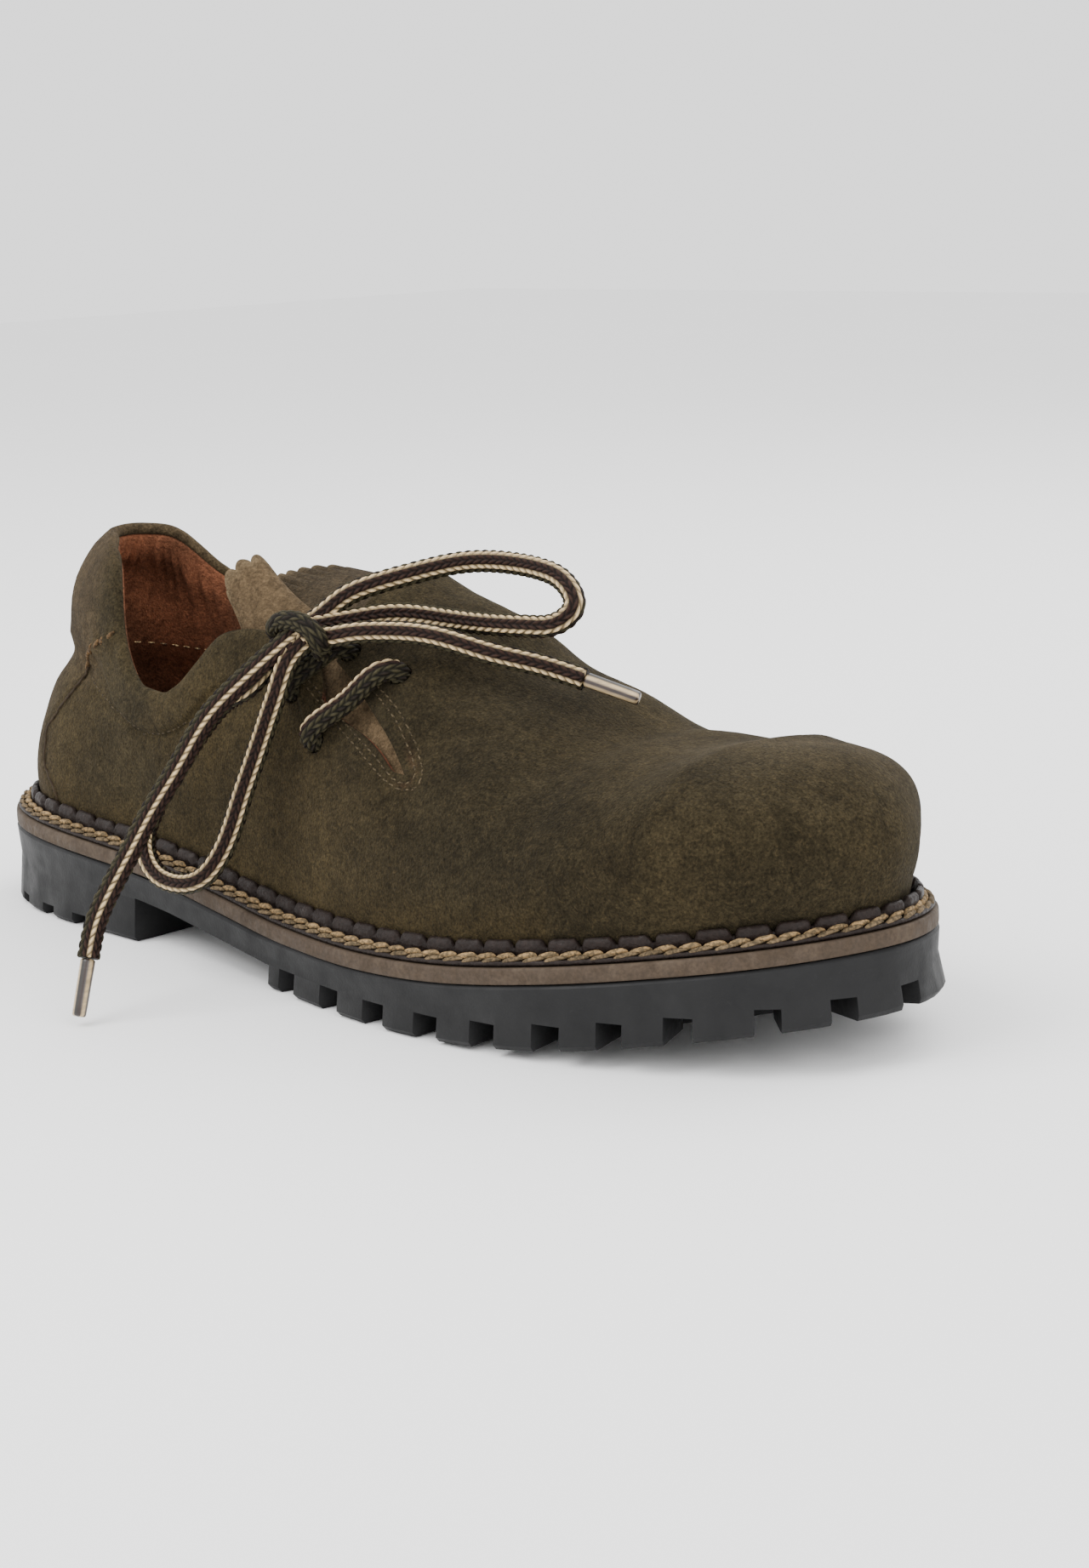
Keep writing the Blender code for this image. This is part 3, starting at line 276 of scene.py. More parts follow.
@dataclass
class Last:
    """The foot's form and the sole's outline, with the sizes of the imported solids.

    A place on it is a share of the way round from the heel's back over the outer side, and a climb from the
    feather edge, 0, to the crown, 1.
    """

    length: float = 304 * MM
    ball_width: float = 109 * MM
    waist_width: float = 78 * MM
    heel_width: float = 76 * MM
    ball_rubber: float = 12.6 * MM
    heel_rise: float = 10 * MM
    toe_spring: float = 14.4 * MM
    midsole_thick: float = 3.9 * MM
    welt_thick: float = 1.1 * MM
    upper_inset: float = 7.4 * MM
    instep_rise: float = 82 * MM
    toe_rise: float = 44 * MM
    collar_rise: float = 76 * MM
    heel_curve: float = 32 * MM
    heel_pole: float = 0.17
    toe_pole: float = 0.865
    tip_share: float = 0.046

    def __post_init__(self) -> None:
        """Draws the outline once, for the methods that read it."""
        along, outer, inner, heel, waist, ball = OUTLINE.rows.T
        half = (heel * self.heel_width + waist * self.waist_width + ball * self.ball_width) / 2
        out_side = np.stack([along * self.length, -outer * half], 1)
        in_side = np.stack([along * self.length, inner * half], 1)
        tip = [[self.length, self.tip_share * self.ball_width / 2]]
        ring = np.vstack([[[0, 0]], out_side, tip, in_side[::-1]])
        self.edge = spline(ring, closed=True)(np.linspace(0, 1, 2401))
        steps = np.linalg.norm(np.diff(self.edge, axis=0), axis=1)
        self.run = np.concatenate([[0], np.cumsum(steps)])
        self.round = float(self.run[-1])
        self.tip = float(self.run[np.argmax(self.edge[:, 0])] / self.round)
        self.dense_share = np.linspace(0, 1, 1201)
        self.dense_edge = self.frame(self.dense_share)[0]

    def outline(self, share: Array) -> tuple[Array, Array]:
        """Reads the sole's outline.

        Args:
            share: shares of its length.

        Returns:
            Plan points and their outward directions.
        """
        run = np.mod(np.asarray(share, float), 1) * self.round

        def point(r: Array) -> Array:
            """The outline at a distance round it."""
            r = np.mod(r, self.round)
            return np.stack([np.interp(r, self.run, self.edge[:, k]) for k in (0, 1)], -1)

        step = 1.5 * MM
        ahead = unit(point(run + step) - point(run - step))
        return point(run), np.stack([ahead[..., 1], -ahead[..., 0]], -1)

    def rubber_top(self, x: Array) -> Array:
        """Height of the rubber's top edge."""
        along = np.asarray(x) / self.length
        rise = self.heel_rise * SIDE.at("heel", along) + self.toe_spring * SIDE.at("toe", along)
        return self.ball_rubber + rise

    def rubber_seat(self, x: Array) -> Array:
        """Height of the midsole's lower edge."""
        return self.rubber_top(x) + GAP

    def midsole_top(self, x: Array) -> Array:
        """Height of the midsole's top edge."""
        return self.rubber_top(x) + GAP + self.midsole_thick

    def welt_top(self, x: Array) -> Array:
        """Height of the flat of the welt."""
        return self.midsole_top(x) + GAP + self.welt_thick

    def feather(self, x: Array) -> Array:
        """Height of the upper's lower edge."""
        return self.midsole_top(x) + GAP

    def frame(self, share: Array) -> tuple[Array, ...]:
        """Reads the last's section at each share.

        Args:
            share: shares of the way round.

        Returns:
            The feather point, the crown's foot in plan, the lowest height, the crown's height, how square the
            section is and how far it swells.
        """
        p, out = self.outline(share)
        edge = p - out * self.upper_inset
        along = np.clip(edge[..., 0] / self.length, self.heel_pole, self.toe_pole)
        foot = np.stack([along * self.length, LAST.at("middle", along) * self.ball_width / 2], -1)
        outer = 0.5 - 0.5 * np.clip((edge[..., 1] - foot[..., 1]) / (self.ball_width / 5), -1, 1)
        square = mix(LAST.at("inner", along), LAST.at("outer", along), outer)
        swell = mix(LAST.at("swell_in", along), LAST.at("swell_out", along), outer) * self.ball_width / 2
        rise = LAST.at("instep", along) * self.instep_rise + LAST.at("toe", along) * self.toe_rise
        crown = self.feather(along * self.length) + rise
        return edge, foot, self.feather(edge[..., 0]), crown, square, swell

    def climb_at(self, share: Array, rise: Array) -> Array:
        """Finds the climb at which the last has risen by so much.

        Args:
            share: shares of the way round.
            rise: heights above the feather edge.

        Returns:
            The climbs.
        """
        _, _, low, crown, square, _ = self.frame(share)
        part = np.clip(rise / (crown - low), 0, 1)
        return np.arcsin(part ** (square / 2)) * 2 / math.pi

    def point(self, share: Array, climb: Array, offset: Array | float = 0.0) -> Array:
        """Finds points on the last, before SHIFT.

        Args:
            share: shares of the way round.
            climb: climbs from the feather edge to the crown.
            offset: how far to move each one outwards.

        Returns:
            The points.
        """
        share, climb = np.broadcast_arrays(np.asarray(share, float), np.asarray(climb, float))
        edge, foot, low, crown, square, swell = self.frame(share)
        turn = np.clip(climb, 0, 1) * math.pi / 2
        reach, part = np.cos(turn) ** (2 / square), np.sin(turn) ** (2 / square)
        ray = edge - foot
        rise = (crown - low) * part
        back = smooth(1 - edge[..., 0] / (0.30 * self.length))
        inward = BACK_LINE.at("inward", rise / self.collar_rise) * self.heel_curve * back
        push = swell * np.sin(part * math.pi) - inward
        flat = foot + ray * reach[..., None] + unit(ray) * push[..., None]
        points = np.concatenate([flat, (low + rise)[..., None]], -1)
        if np.any(np.asarray(offset) != 0):
            points = points + self.normal(share, climb) * np.asarray(offset)[..., None]
        return points

    def normal(self, share: Array, climb: Array) -> Array:
        """Outward normals at places on the last, by small steps of share and climb."""
        ds, dc, lowest, highest = 0.002, 0.01, 0.012, 0.985
        climb = np.clip(climb, lowest, highest)
        along = self.point(share + ds, climb) - self.point(share - ds, climb)
        up = self.point(share, climb + dc) - self.point(share, climb - dc)
        return unit(np.cross(along, up))

    def on(self, plan: Array) -> tuple[Array, Array]:
        """Finds the places on the last above plan points.

        Args:
            plan: plan points forward of the heel's pole.

        Returns:
            Their shares and climbs.
        """
        plan = np.asarray(plan, float)
        x = plan[..., 0]
        pole = self.toe_pole * self.length
        along = np.clip(x / self.length, self.heel_pole, self.toe_pole)
        middle = LAST.at("middle", along) * self.ball_width / 2
        outer = (self.dense_share > 0.04) & (self.dense_share < self.tip)
        inner = (self.dense_share > self.tip) & (self.dense_share < 0.96)
        s_out = np.interp(x, self.dense_edge[outer, 0], self.dense_share[outer])
        s_in = np.interp(x, self.dense_edge[inner, 0][::-1], self.dense_share[inner][::-1])
        straight = np.where(plan[..., 1] < middle, s_out, s_in)
        tip_y = float(LAST.at("middle", self.toe_pole)) * self.ball_width / 2
        toe = self.dense_edge[:, 0] > pole
        bearing = np.arctan2(self.dense_edge[toe, 1] - tip_y, self.dense_edge[toe, 0] - pole)
        fanned = np.interp(np.arctan2(plan[..., 1] - tip_y, x - pole), bearing, self.dense_share[toe])
        share = np.where(x > pole, fanned, straight)
        edge, foot, _, _, square, _ = self.frame(share)
        reach = np.linalg.norm(plan - foot, axis=-1) / np.linalg.norm(edge - foot, axis=-1)
        return share, np.arccos(np.clip(reach, 0, 1) ** (square / 2)) * 2 / math.pi


@dataclass
class Skin:
    """One grid over the last: the wall's rows and the vamp's top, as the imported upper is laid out.

    Its top holds the indices of the collar's rim, and its collar says which points lie below that rim.
    """

    share: Array
    climb: Array
    pad: Array
    faces: Array
    columns: int
    top: Array
    collar: Array


def mesh_object(name: str, points: Array, faces: Sequence, material: bpy.types.Material) -> bpy.types.Object:
    """Makes a smooth mesh piece from points in the last's frame.

    Args:
        name: the piece's name.
        points: in metres, before SHIFT.
        faces: index tuples.
        material: its finish.

    Returns:
        The new object, at the origin.
    """
    mesh = bpy.data.meshes.new(name)
    points = np.asarray(points, float) + SHIFT
    mesh.from_pydata(points.tolist(), [], [tuple(int(i) for i in f) for f in faces])
    mesh.shade_smooth()
    mesh.materials.append(material)
    piece = bpy.data.objects.new(name, mesh)
    bpy.context.scene.collection.objects.link(piece)
    return piece


def declare(piece: bpy.types.Object, node: str) -> None:
    """Puts a piece on the one body.

    Args:
        piece: the finished piece.
        node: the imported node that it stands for.
    """
    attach(piece, "root")
    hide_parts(node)
    LOG.info("%s: %d faces", piece.name, len(piece.data.polygons))


def paint(piece: bpy.types.Object, colours: Array) -> None:
    """Writes one linear colour to each point of a piece."""
    layer = piece.data.color_attributes.new("shade", "FLOAT_COLOR", "POINT")
    rgba = np.column_stack([colours, np.ones(len(colours))])
    layer.data.foreach_set("color", rgba.astype(np.float32).reshape(-1))


def corners(piece: bpy.types.Object) -> Array:
    """A piece's points, before SHIFT."""
    xyz = np.empty(len(piece.data.vertices) * 3)
    piece.data.vertices.foreach_get("co", xyz)
    return xyz.reshape(-1, 3) - SHIFT


def near(points: Array, line: Array) -> tuple[Array, Array]:
    """Finds what is nearest to each point.

    Args:
        points: the points to start from.
        line: the points to look among.

    Returns:
        Each point's distance to the nearest of the line's points, and which one that is.
    """
    distance, index = np.empty(len(points)), np.empty(len(points), int)
    for start in range(0, len(points), BLOCK):
        part = slice(start, start + BLOCK)
        gap = ((points[part, None] - line[None]) ** 2).sum(-1)
        index[part] = gap.argmin(1)
        distance[part] = np.sqrt(gap.min(1))
    return distance, index


def evenly(line: Array, pitch: float) -> Array:
    """Lays points along a smooth line.

    Args:
        line: points that the line passes through.
        pitch: the distance between the new points, made to fit the line's length.

    Returns:
        The new points.
    """
    dense = spline(line)(np.linspace(0, 1, 60 + 12 * len(line)))
    run = np.concatenate([[0], np.cumsum(np.linalg.norm(np.diff(dense, axis=0), axis=1))])
    places = np.linspace(0, run[-1], max(2, int(round(run[-1] / pitch)) + 1))
    return np.stack([np.interp(places, run, dense[:, k]) for k in range(dense.shape[1])], -1)


def ring_faces(columns: int, rows: int, closed: bool = True) -> list[tuple[int, int, int, int]]:
    """Joins stacked rings by quads.

    Args:
        columns: points in each ring.
        rows: how many rings.
        closed: whether the rings are closed, or strips.

    Returns:
        The quads.
    """
    faces = []
    for r in range(rows - 1):
        for c in range(columns if closed else columns - 1):
            d = (c + 1) % columns
            faces.append((r * columns + c, r * columns + d, (r + 1) * columns + d, (r + 1) * columns + c))
    return faces


def cap_faces(columns: int, start: int) -> list[tuple[int, ...]]:
    """Closes a ring by quads from its outer side to its inner side.

    Args:
        columns: points in the ring, an even number.
        start: its first point.

    Returns:
        The faces, with a triangle at each end.
    """
    half = columns // 2
    faces: list[tuple[int, ...]] = [(start, start + 1, start + columns - 1)]
    for i in range(1, half - 1):
        faces.append((start + i, start + i + 1, start + columns - i - 1, start + columns - i))
    return [*faces, (start + half - 1, start + half, start + half + 1)]


def fan_faces(columns: int, rows: int) -> list[tuple[int, int, int]]:
    """Closes stacked rings at both ends.

    Args:
        columns: points in each ring.
        rows: how many rings.

    Returns:
        Triangles to the two points that follow the rings.
    """
    count, faces = columns * rows, []
    for s in range(columns):
        d = (s + 1) % columns
        faces += [(count, d, s), (count + 1, count - columns + s, count - columns + d)]
    return faces


def fine_steps(values: Sequence[float], parts: int) -> Array:
    """The values with each interval cut in even parts."""
    values = np.asarray(values, float)
    return np.interp(np.arange((len(values) - 1) * parts + 1) / parts, np.arange(len(values)), values)


def closed_sheet(outside: Array, inside: Array, faces: Array, bulge: Array,
                 turns: int = 3) -> tuple[Array, Array]:
    """Closes a sheet's two sides with a rounded edge along every open border.

    Args:
        outside: the outer side's points.
        inside: the inner side's points, in the same order.
        faces: quads of the sheet.
        bulge: for each point, how far its edge would stand out in shares of the thickness.
        turns: rings of points round the edge.

    Returns:
        The closed sheet's points and quads.
    """
    count = len(outside)
    a = faces.reshape(-1)
    b = np.roll(faces, -1, axis=1).reshape(-1)
    border = ~np.isin(a * count + b, b * count + a)
    a, b = a[border], b[border]
    side = unit(np.cross(outside[b] - outside[a], outside[a] - inside[a]))
    outward = np.zeros((count, 3))
    np.add.at(outward, a, side)
    np.add.at(outward, b, side)
    used = np.unique(np.concatenate([a, b]))
    place = np.zeros(count, int)
    place[used] = np.arange(len(used))
    half = (outside[used] - inside[used]) / 2
    middle = (outside[used] + inside[used]) / 2
    reach = unit(outward[used]) * np.linalg.norm(2 * half, axis=1)[:, None] * bulge[used, None]
    points, solid = [outside, inside], [faces, faces[:, ::-1] + count]
    before_a, before_b = a, b
    for k in range(1, turns + 1):
        turn = math.pi * k / (turns + 1)
        points.append(middle + math.cos(turn) * half + math.sin(turn) * reach)
        start = 2 * count + (k - 1) * len(used)
        now_a, now_b = start + place[a], start + place[b]
        solid.append(np.stack([before_b, before_a, now_a, now_b], 1))
        before_a, before_b = now_a, now_b
    solid.append(np.stack([before_b, before_a, a + count, b + count], 1))
    return np.vstack(points), np.vstack(solid)


def cut_round(piece: bpy.types.Object, holes: Sequence[tuple[Array, Array]], radius: float,
              deep: float) -> None:
    """Cuts round holes with one hidden cutter, then removes the cutter.

    Args:
        piece: what is cut.
        holes: centre and outward direction of each hole.
        radius: the holes' radius.
        deep: how far the cutter reaches in and out.
    """
    points, faces, sides = [], [], 32
    for centre, axis in holes:
        u = unit(np.cross(axis, (0, 0, 1)))
        v = np.cross(axis, u)
        turn = np.arange(sides) * math.pi / (sides // 2)
        ring = [math.cos(a) * u * radius + math.sin(a) * v * radius for a in turn]
        start = len(points)
        points += [centre + r - axis * deep for r in ring] + [centre + r + axis * deep for r in ring]
        faces += [tuple(i + start for i in f) for f in ring_faces(sides, 2)]
        faces.append(tuple(range(start + sides - 1, start - 1, -1)))
        faces.append(tuple(range(start + sides, start + 2 * sides)))
    cutter = mesh_object(piece.name + "_holes", np.array(points), faces, piece.data.materials[0])
    step = piece.modifiers.new("lace_holes", "BOOLEAN")
    step.operation, step.solver, step.object = "DIFFERENCE", "EXACT", cutter
    apply_modifiers(piece)
    bpy.data.objects.remove(cutter)


def apply_modifiers(piece: bpy.types.Object) -> None:
    """Applies every modifier of a piece, in order."""
    bpy.ops.object.select_all(action="DESELECT")
    piece.select_set(True)
    bpy.context.view_layer.objects.active = piece
    for step in list(piece.modifiers):
        bpy.ops.object.modifier_apply(modifier=step.name)
    piece.select_set(False)


def turn_outwards(piece: bpy.types.Object) -> None:
    """Makes a closed piece's faces point outwards."""
    work = bmesh.new()
    work.from_mesh(piece.data)
    bmesh.ops.remove_doubles(work, verts=work.verts, dist=MERGE)
    bmesh.ops.recalc_face_normals(work, faces=work.faces)
    if work.calc_volume(signed=True) < 0:
        bmesh.ops.reverse_faces(work, faces=work.faces)
    work.to_mesh(piece.data)
    work.free()


class Tree:
    """A material's node tree, with short calls for the nodes that the finishes use."""

    def __init__(self, name: str, rough: float = 0.9) -> None:
        """Starts a material whose shader has this name and roughness."""
        self.material = bpy.data.materials.new(name)
        self.material.use_nodes = True
        self.nodes = self.material.node_tree.nodes
        self.links = self.material.node_tree.links
        self.nodes.clear()
        self.shader = self.node("ShaderNodeBsdfPrincipled", Roughness=rough)
        out = self.node("ShaderNodeOutputMaterial")
        self.links.new(self.shader.outputs[0], out.inputs["Surface"])
        self.place = self.node("ShaderNodeTexCoord").outputs["Object"]

    def node(self, kind: str, **inputs: object) -> bpy.types.Node:
        """Adds a node; underscores in the inputs' names stand for spaces."""
        made = self.nodes.new(kind)
        for key, value in inputs.items():
            self.put(made.inputs[key.replace("_", " ")], value)
        return made

    def put(self, socket: bpy.types.NodeSocket, value: object) -> None:
        """Links a socket to another, or sets its number."""
        if isinstance(value, bpy.types.NodeSocket):
            self.links.new(value, socket)
        else:
            socket.default_value = value

    def set(self, **inputs: object) -> None:
        """Sets or links the shader's own sockets."""
        for key, value in inputs.items():
            self.put(self.shader.inputs[key.replace("_", " ")], value)

    def noise(self, scale: float, detail: float = 3, rough: float = 0.55, bend: float = 0.0,
              place: bpy.types.NodeSocket | None = None) -> bpy.types.NodeSocket:
        """Noise of a scale in repeats per metre."""
        made = self.node("ShaderNodeTexNoise", Vector=place or self.place, Scale=scale, Detail=detail,
                         Roughness=rough, Distortion=bend)
        return made.outputs["Fac"]

    def cells(self, scale: float) -> bpy.types.NodeSocket:
        """Distance to the nearest of scattered cells."""
        return self.node("ShaderNodeTexVoronoi", Vector=self.place, Scale=scale).outputs["Distance"]

    def spread(self, value: bpy.types.NodeSocket, low: float, high: float, to_low: float = 0.0,
               to_high: float = 1.0) -> bpy.types.NodeSocket:
        """Maps a range of a value to another one."""
        made = self.node("ShaderNodeMapRange", Value=value, From_Min=low, From_Max=high, To_Min=to_low,
                         To_Max=to_high)
        return made.outputs["Result"]

    def math(self, action: str, a: object, b: object = 0.0) -> bpy.types.NodeSocket:
        """A sum, product or the like of two values."""
        made = self.nodes.new("ShaderNodeMath")
        made.operation = action
        self.put(made.inputs[0], a)
        self.put(made.inputs[1], b)
        return made.outputs[0]

    def blend(self, share: object, a: object, b: object) -> bpy.types.NodeSocket:
        """Mixes two colours, through the mix node's own colour sockets."""
        made = self.nodes.new("ShaderNodeMix")
        made.data_type = "RGBA"
        for socket, value in ((0, share), (6, a), (7, b)):
            self.put(made.inputs[socket], value)
        return made.outputs[2]

    def shade(self) -> bpy.types.NodeSocket:
        """The colour painted on the piece's points."""
        made = self.nodes.new("ShaderNodeAttribute")
        made.attribute_name = "shade"
        return made.outputs["Color"]

    def times(self, colour: object, factor: bpy.types.NodeSocket) -> bpy.types.NodeSocket:
        """A colour made lighter or darker by a factor."""
        made = self.nodes.new("ShaderNodeVectorMath")
        made.operation = "SCALE"
        self.put(made.inputs[0], colour if isinstance(colour, bpy.types.NodeSocket) else colour[:3])
        self.put(made.inputs["Scale"], factor)
        return made.outputs[0]

    def bump(self, height: bpy.types.NodeSocket, distance: float, strength: float = 1.0,
             normal: bpy.types.NodeSocket | None = None) -> bpy.types.NodeSocket:
        """A normal tilted by a height in shares of a distance in metres."""
        made = self.node("ShaderNodeBump", Height=height, Distance=distance, Strength=strength)
        if normal:
            self.put(made.inputs["Normal"], normal)
        return made.outputs["Normal"]


# what the view shows, from 0 to 255, for a grey surface of so much light
SHOWN = Table(
    "shown light", (0, 0), (8, 0.0045), (18, 0.0097), (33, 0.0208), (54, 0.0446), (68, 0.0653), (85, 0.0957),
    (104, 0.140), (125, 0.205), (146, 0.301), (164, 0.441), (180, 0.646), (195, 0.947), (207, 1.39),
    (227, 2.98),
)
STUDIO_LIGHT = 2.7


def shown(red: float, green: float, blue: float) -> Colour:
    """The colour that a surface needs for it to look like this swatch in the studio."""
    return tuple(float(v) for v in SHOWN.at("light", np.array([red, green, blue])) / STUDIO_LIGHT)


@dataclass(frozen=True)
class Roughout:
    """Napped leather: the painted colour, cloudy stroked patches, short lighter fibres and a felted bump."""

    name: str
    fibre: Colour = shown(128, 108, 72)
    cloud: float = 0.30
    nap: float = 0.55

    def build(self) -> bpy.types.Material:
        """Makes the material."""
        tree = Tree(self.name, 0.92)
        base = tree.shade()
        cloud = tree.spread(tree.noise(55, 4, 0.6, 0.6), 0.3, 0.7, 1 - self.cloud, 1 + self.cloud)
        felt = tree.spread(tree.noise(330, 3, 0.6, 1.4), 0.3, 0.7, 0.66, 1.34)
        grit = tree.spread(tree.noise(1500, 2, 0.6), 0.25, 0.75, 1 - self.nap, 1 + self.nap)
        colour = tree.times(tree.times(tree.times(base, cloud), felt), grit)
        strands = tree.noise(560, 3, 0.75, 2.6)
        lit = tree.spread(felt, 0.7, 1.3, 0.25, 1)
        light = tree.math("MULTIPLY", tree.spread(strands, 0.54, 0.68, 0, 0.42), lit)
        colour = tree.blend(light, colour, (*self.fibre, 1))
        height = tree.math("ADD", tree.math("MULTIPLY", strands, 0.6), tree.noise(1700, 2, 0.7))
        normal = tree.bump(tree.noise(210, 3, 0.5, 0.8), 0.0010, 0.6)
        normal = tree.bump(height, 0.0007, 0.85, normal)
        tree.set(Base_Color=colour, Normal=normal, Specular_IOR_Level=0.06)
        tree.set(Sheen_Weight=0.03, Sheen_Roughness=0.5, Sheen_Tint=(0.75, 0.66, 0.5, 1))
        return tree.material


@dataclass(frozen=True)
class SmoothLeather:
    """Grained leather of the welt, the insole or the band: one colour, worn lighter in places."""

    name: str
    colour: Colour
    worn: Colour
    rough: float = 0.62
    grain: float = 900
    deep: float = 0.00016

    def build(self) -> bpy.types.Material:
        """Makes the material."""
        tree = Tree(self.name, self.rough)
        wear_and_sheen = tree.spread(tree.noise(130, 4, 0.65, 0.5), 0.48, 0.72, 0, 0.75)
        speck = tree.spread(tree.noise(self.grain * 1.6, 2), 0.3, 0.7, 0.82, 1.18)
        colour = tree.times(tree.blend(wear_and_sheen, (*self.colour, 1), (*self.worn, 1)), speck)
        rough = tree.spread(tree.noise(300, 3), 0.3, 0.7, self.rough - 0.12, self.rough + 0.12)
        normal = tree.bump(tree.cells(self.grain), self.deep, 0.6)
        normal = tree.bump(tree.noise(260, 4, 0.6), 0.0006, 0.35, normal)
        tree.set(Base_Color=colour, Roughness=rough, Normal=normal, Specular_IOR_Level=0.2)
        return tree.material


@dataclass(frozen=True)
class WeltLeather:
    """Dark brown welt leather, with a painted bluish sheen in patches on its lip."""

    name: str = "welt_leather"
    colour: Colour = shown(42, 30, 25)
    # the bluish colour of the painted sheen
    painted_sheen: Colour = shown(66, 52, 46)

    def build(self) -> bpy.types.Material:
        """Makes the material."""
        tree = Tree(self.name, 0.5)
        # noise patches where the painted bluish sheen is mixed in
        wear_and_sheen = tree.spread(tree.noise(170, 5, 0.7, 0.6), 0.50, 0.74, 0, 0.8)
        colour = tree.blend(wear_and_sheen, (*self.colour, 1), (*self.painted_sheen, 1))
        colour = tree.times(colour, tree.spread(tree.noise(1100, 2), 0.3, 0.7, 0.75, 1.25))
        normal = tree.bump(tree.cells(1000), 0.0002, 0.7)
        normal = tree.bump(tree.noise(330, 5, 0.7, 0.3), 0.0009, 0.55, normal)
        rough = tree.spread(tree.noise(400, 3), 0.3, 0.7, 0.38, 0.62)
        tree.set(Base_Color=colour, Roughness=rough, Normal=normal, Specular_IOR_Level=0.16)
        return tree.material


@dataclass(frozen=True)
class Rubber:
    """Moulded rubber with a dull bloom and fine scuffs."""

    name: str = "outsole_rubber"
    colour: Colour = shown(35, 35, 36)
    bloom: Colour = shown(62, 62, 62)

    def build(self) -> bpy.types.Material:
        """Makes the material."""
        tree = Tree(self.name, 0.55)
        dusty = tree.spread(tree.noise(38, 4, 0.6, 0.4), 0.45, 0.75, 0, 0.5)
        speck = tree.spread(tree.noise(900, 3, 0.7), 0.62, 0.75, 0, 0.25)
        colour = tree.blend(speck, tree.blend(dusty, (*self.colour, 1), (*self.bloom, 1)), (*self.bloom, 1))
        rough = tree.spread(tree.noise(140, 3), 0.3, 0.7, 0.46, 0.66)
        normal = tree.bump(tree.noise(1300, 2, 0.6), 0.00012, 0.5)
        normal = tree.bump(tree.noise(90, 2), 0.0006, 0.2, normal)
        tree.set(Base_Color=colour, Roughness=rough, Normal=normal, Specular_IOR_Level=0.2)
        return tree.material


@dataclass(frozen=True)
class Thread:
    """Waxed sewing thread, darker where its plies meet."""

    name: str
    colour: Colour
    dark: Colour
    scale: float = 1500

    def build(self) -> bpy.types.Material:
        """Makes the material."""
        tree = Tree(self.name, 0.72)
        plies = tree.noise(self.scale, 2, 0.5, 0.3)
        tone = tree.spread(tree.noise(90, 2), 0.35, 0.65, 0.8, 1.15)
        colour = tree.blend(tree.spread(plies, 0.4, 0.62), (*self.dark, 1), (*self.colour, 1))
        colour = tree.times(colour, tone)
        tree.set(Base_Color=colour, Normal=tree.bump(plies, 0.0004, 0.9), Specular_IOR_Level=0.12)
        return tree.material


@dataclass(frozen=True)
class Braid:
    """The lace's yarn: the painted strand colours with fine filaments and a slight gloss."""

    name: str = "lace_yarn"

    def build(self) -> bpy.types.Material:
        """Makes the material."""
        tree = Tree(self.name, 0.62)
        fuzz = tree.noise(2600, 2, 0.6, 0.8)
        colour = tree.times(tree.shade(), tree.spread(fuzz, 0.3, 0.7, 0.72, 1.28))
        tree.set(Base_Color=colour, Normal=tree.bump(fuzz, 0.00018, 0.6), Specular_IOR_Level=0.12)
        return tree.material


@dataclass(frozen=True)
class TipPlastic:
    """The aglets' film, with the painted yarns showing through it."""

    name: str = "aglet_film"

    def build(self) -> bpy.types.Material:
        """Makes the material."""
        tree = Tree(self.name, 0.42)
        streak = tree.node("ShaderNodeMapping", Vector=tree.place, Scale=(200, 200, 900))
        lines = tree.noise(1.0, 3, 0.6, 0.5, streak.outputs[0])
        colour = tree.times(tree.shade(), tree.spread(lines, 0.3, 0.7, 0.6, 1.2))
        tree.set(Base_Color=colour, Normal=tree.bump(lines, 0.0002, 0.4), Coat_Weight=0.25)
        return tree.material


@dataclass(frozen=True)
class PaleFloor:
    """The studio's plain floor."""

    name: str = "studio_floor"
    colour: Colour = (0.93, 0.93, 0.93)

    def build(self) -> bpy.types.Material:
        """Makes the material."""
        tree = Tree(self.name, 0.9)
        tone = tree.spread(tree.noise(3, 2), 0.3, 0.7, 0.995, 1.005)
        tree.set(Base_Color=tree.times((*self.colour, 1), tone), Specular_IOR_Level=0.1)
        return tree.material


BACK_SHARES = (0, 0.02, 0.04, 0.058, 0.074, 0.088, 0.098, 0.107, 0.114)
BACK_SHARES += (0.120, 0.126, 0.133, 0.142, 0.152, 0.162)
SIDE_SHARES = (0.170, 0.178, 0.186, 0.195, 0.205, 0.215, 0.2255, 0.2345)
OPENING_SHARES = (0.2438, 0.2535, 0.2632, 0.2736, 0.2833, 0.2915, 0.2979)
FRONT_CORNER, MEDIAL_THROAT, FORE_STEPS, TOE_STEPS = 0.418, 0.800, 16, 12
LACE_HOLES = (((0.2479, 0.367), (0.2750, 0.620)), ((0.2290, 0.430), (0.2475, 0.600)))

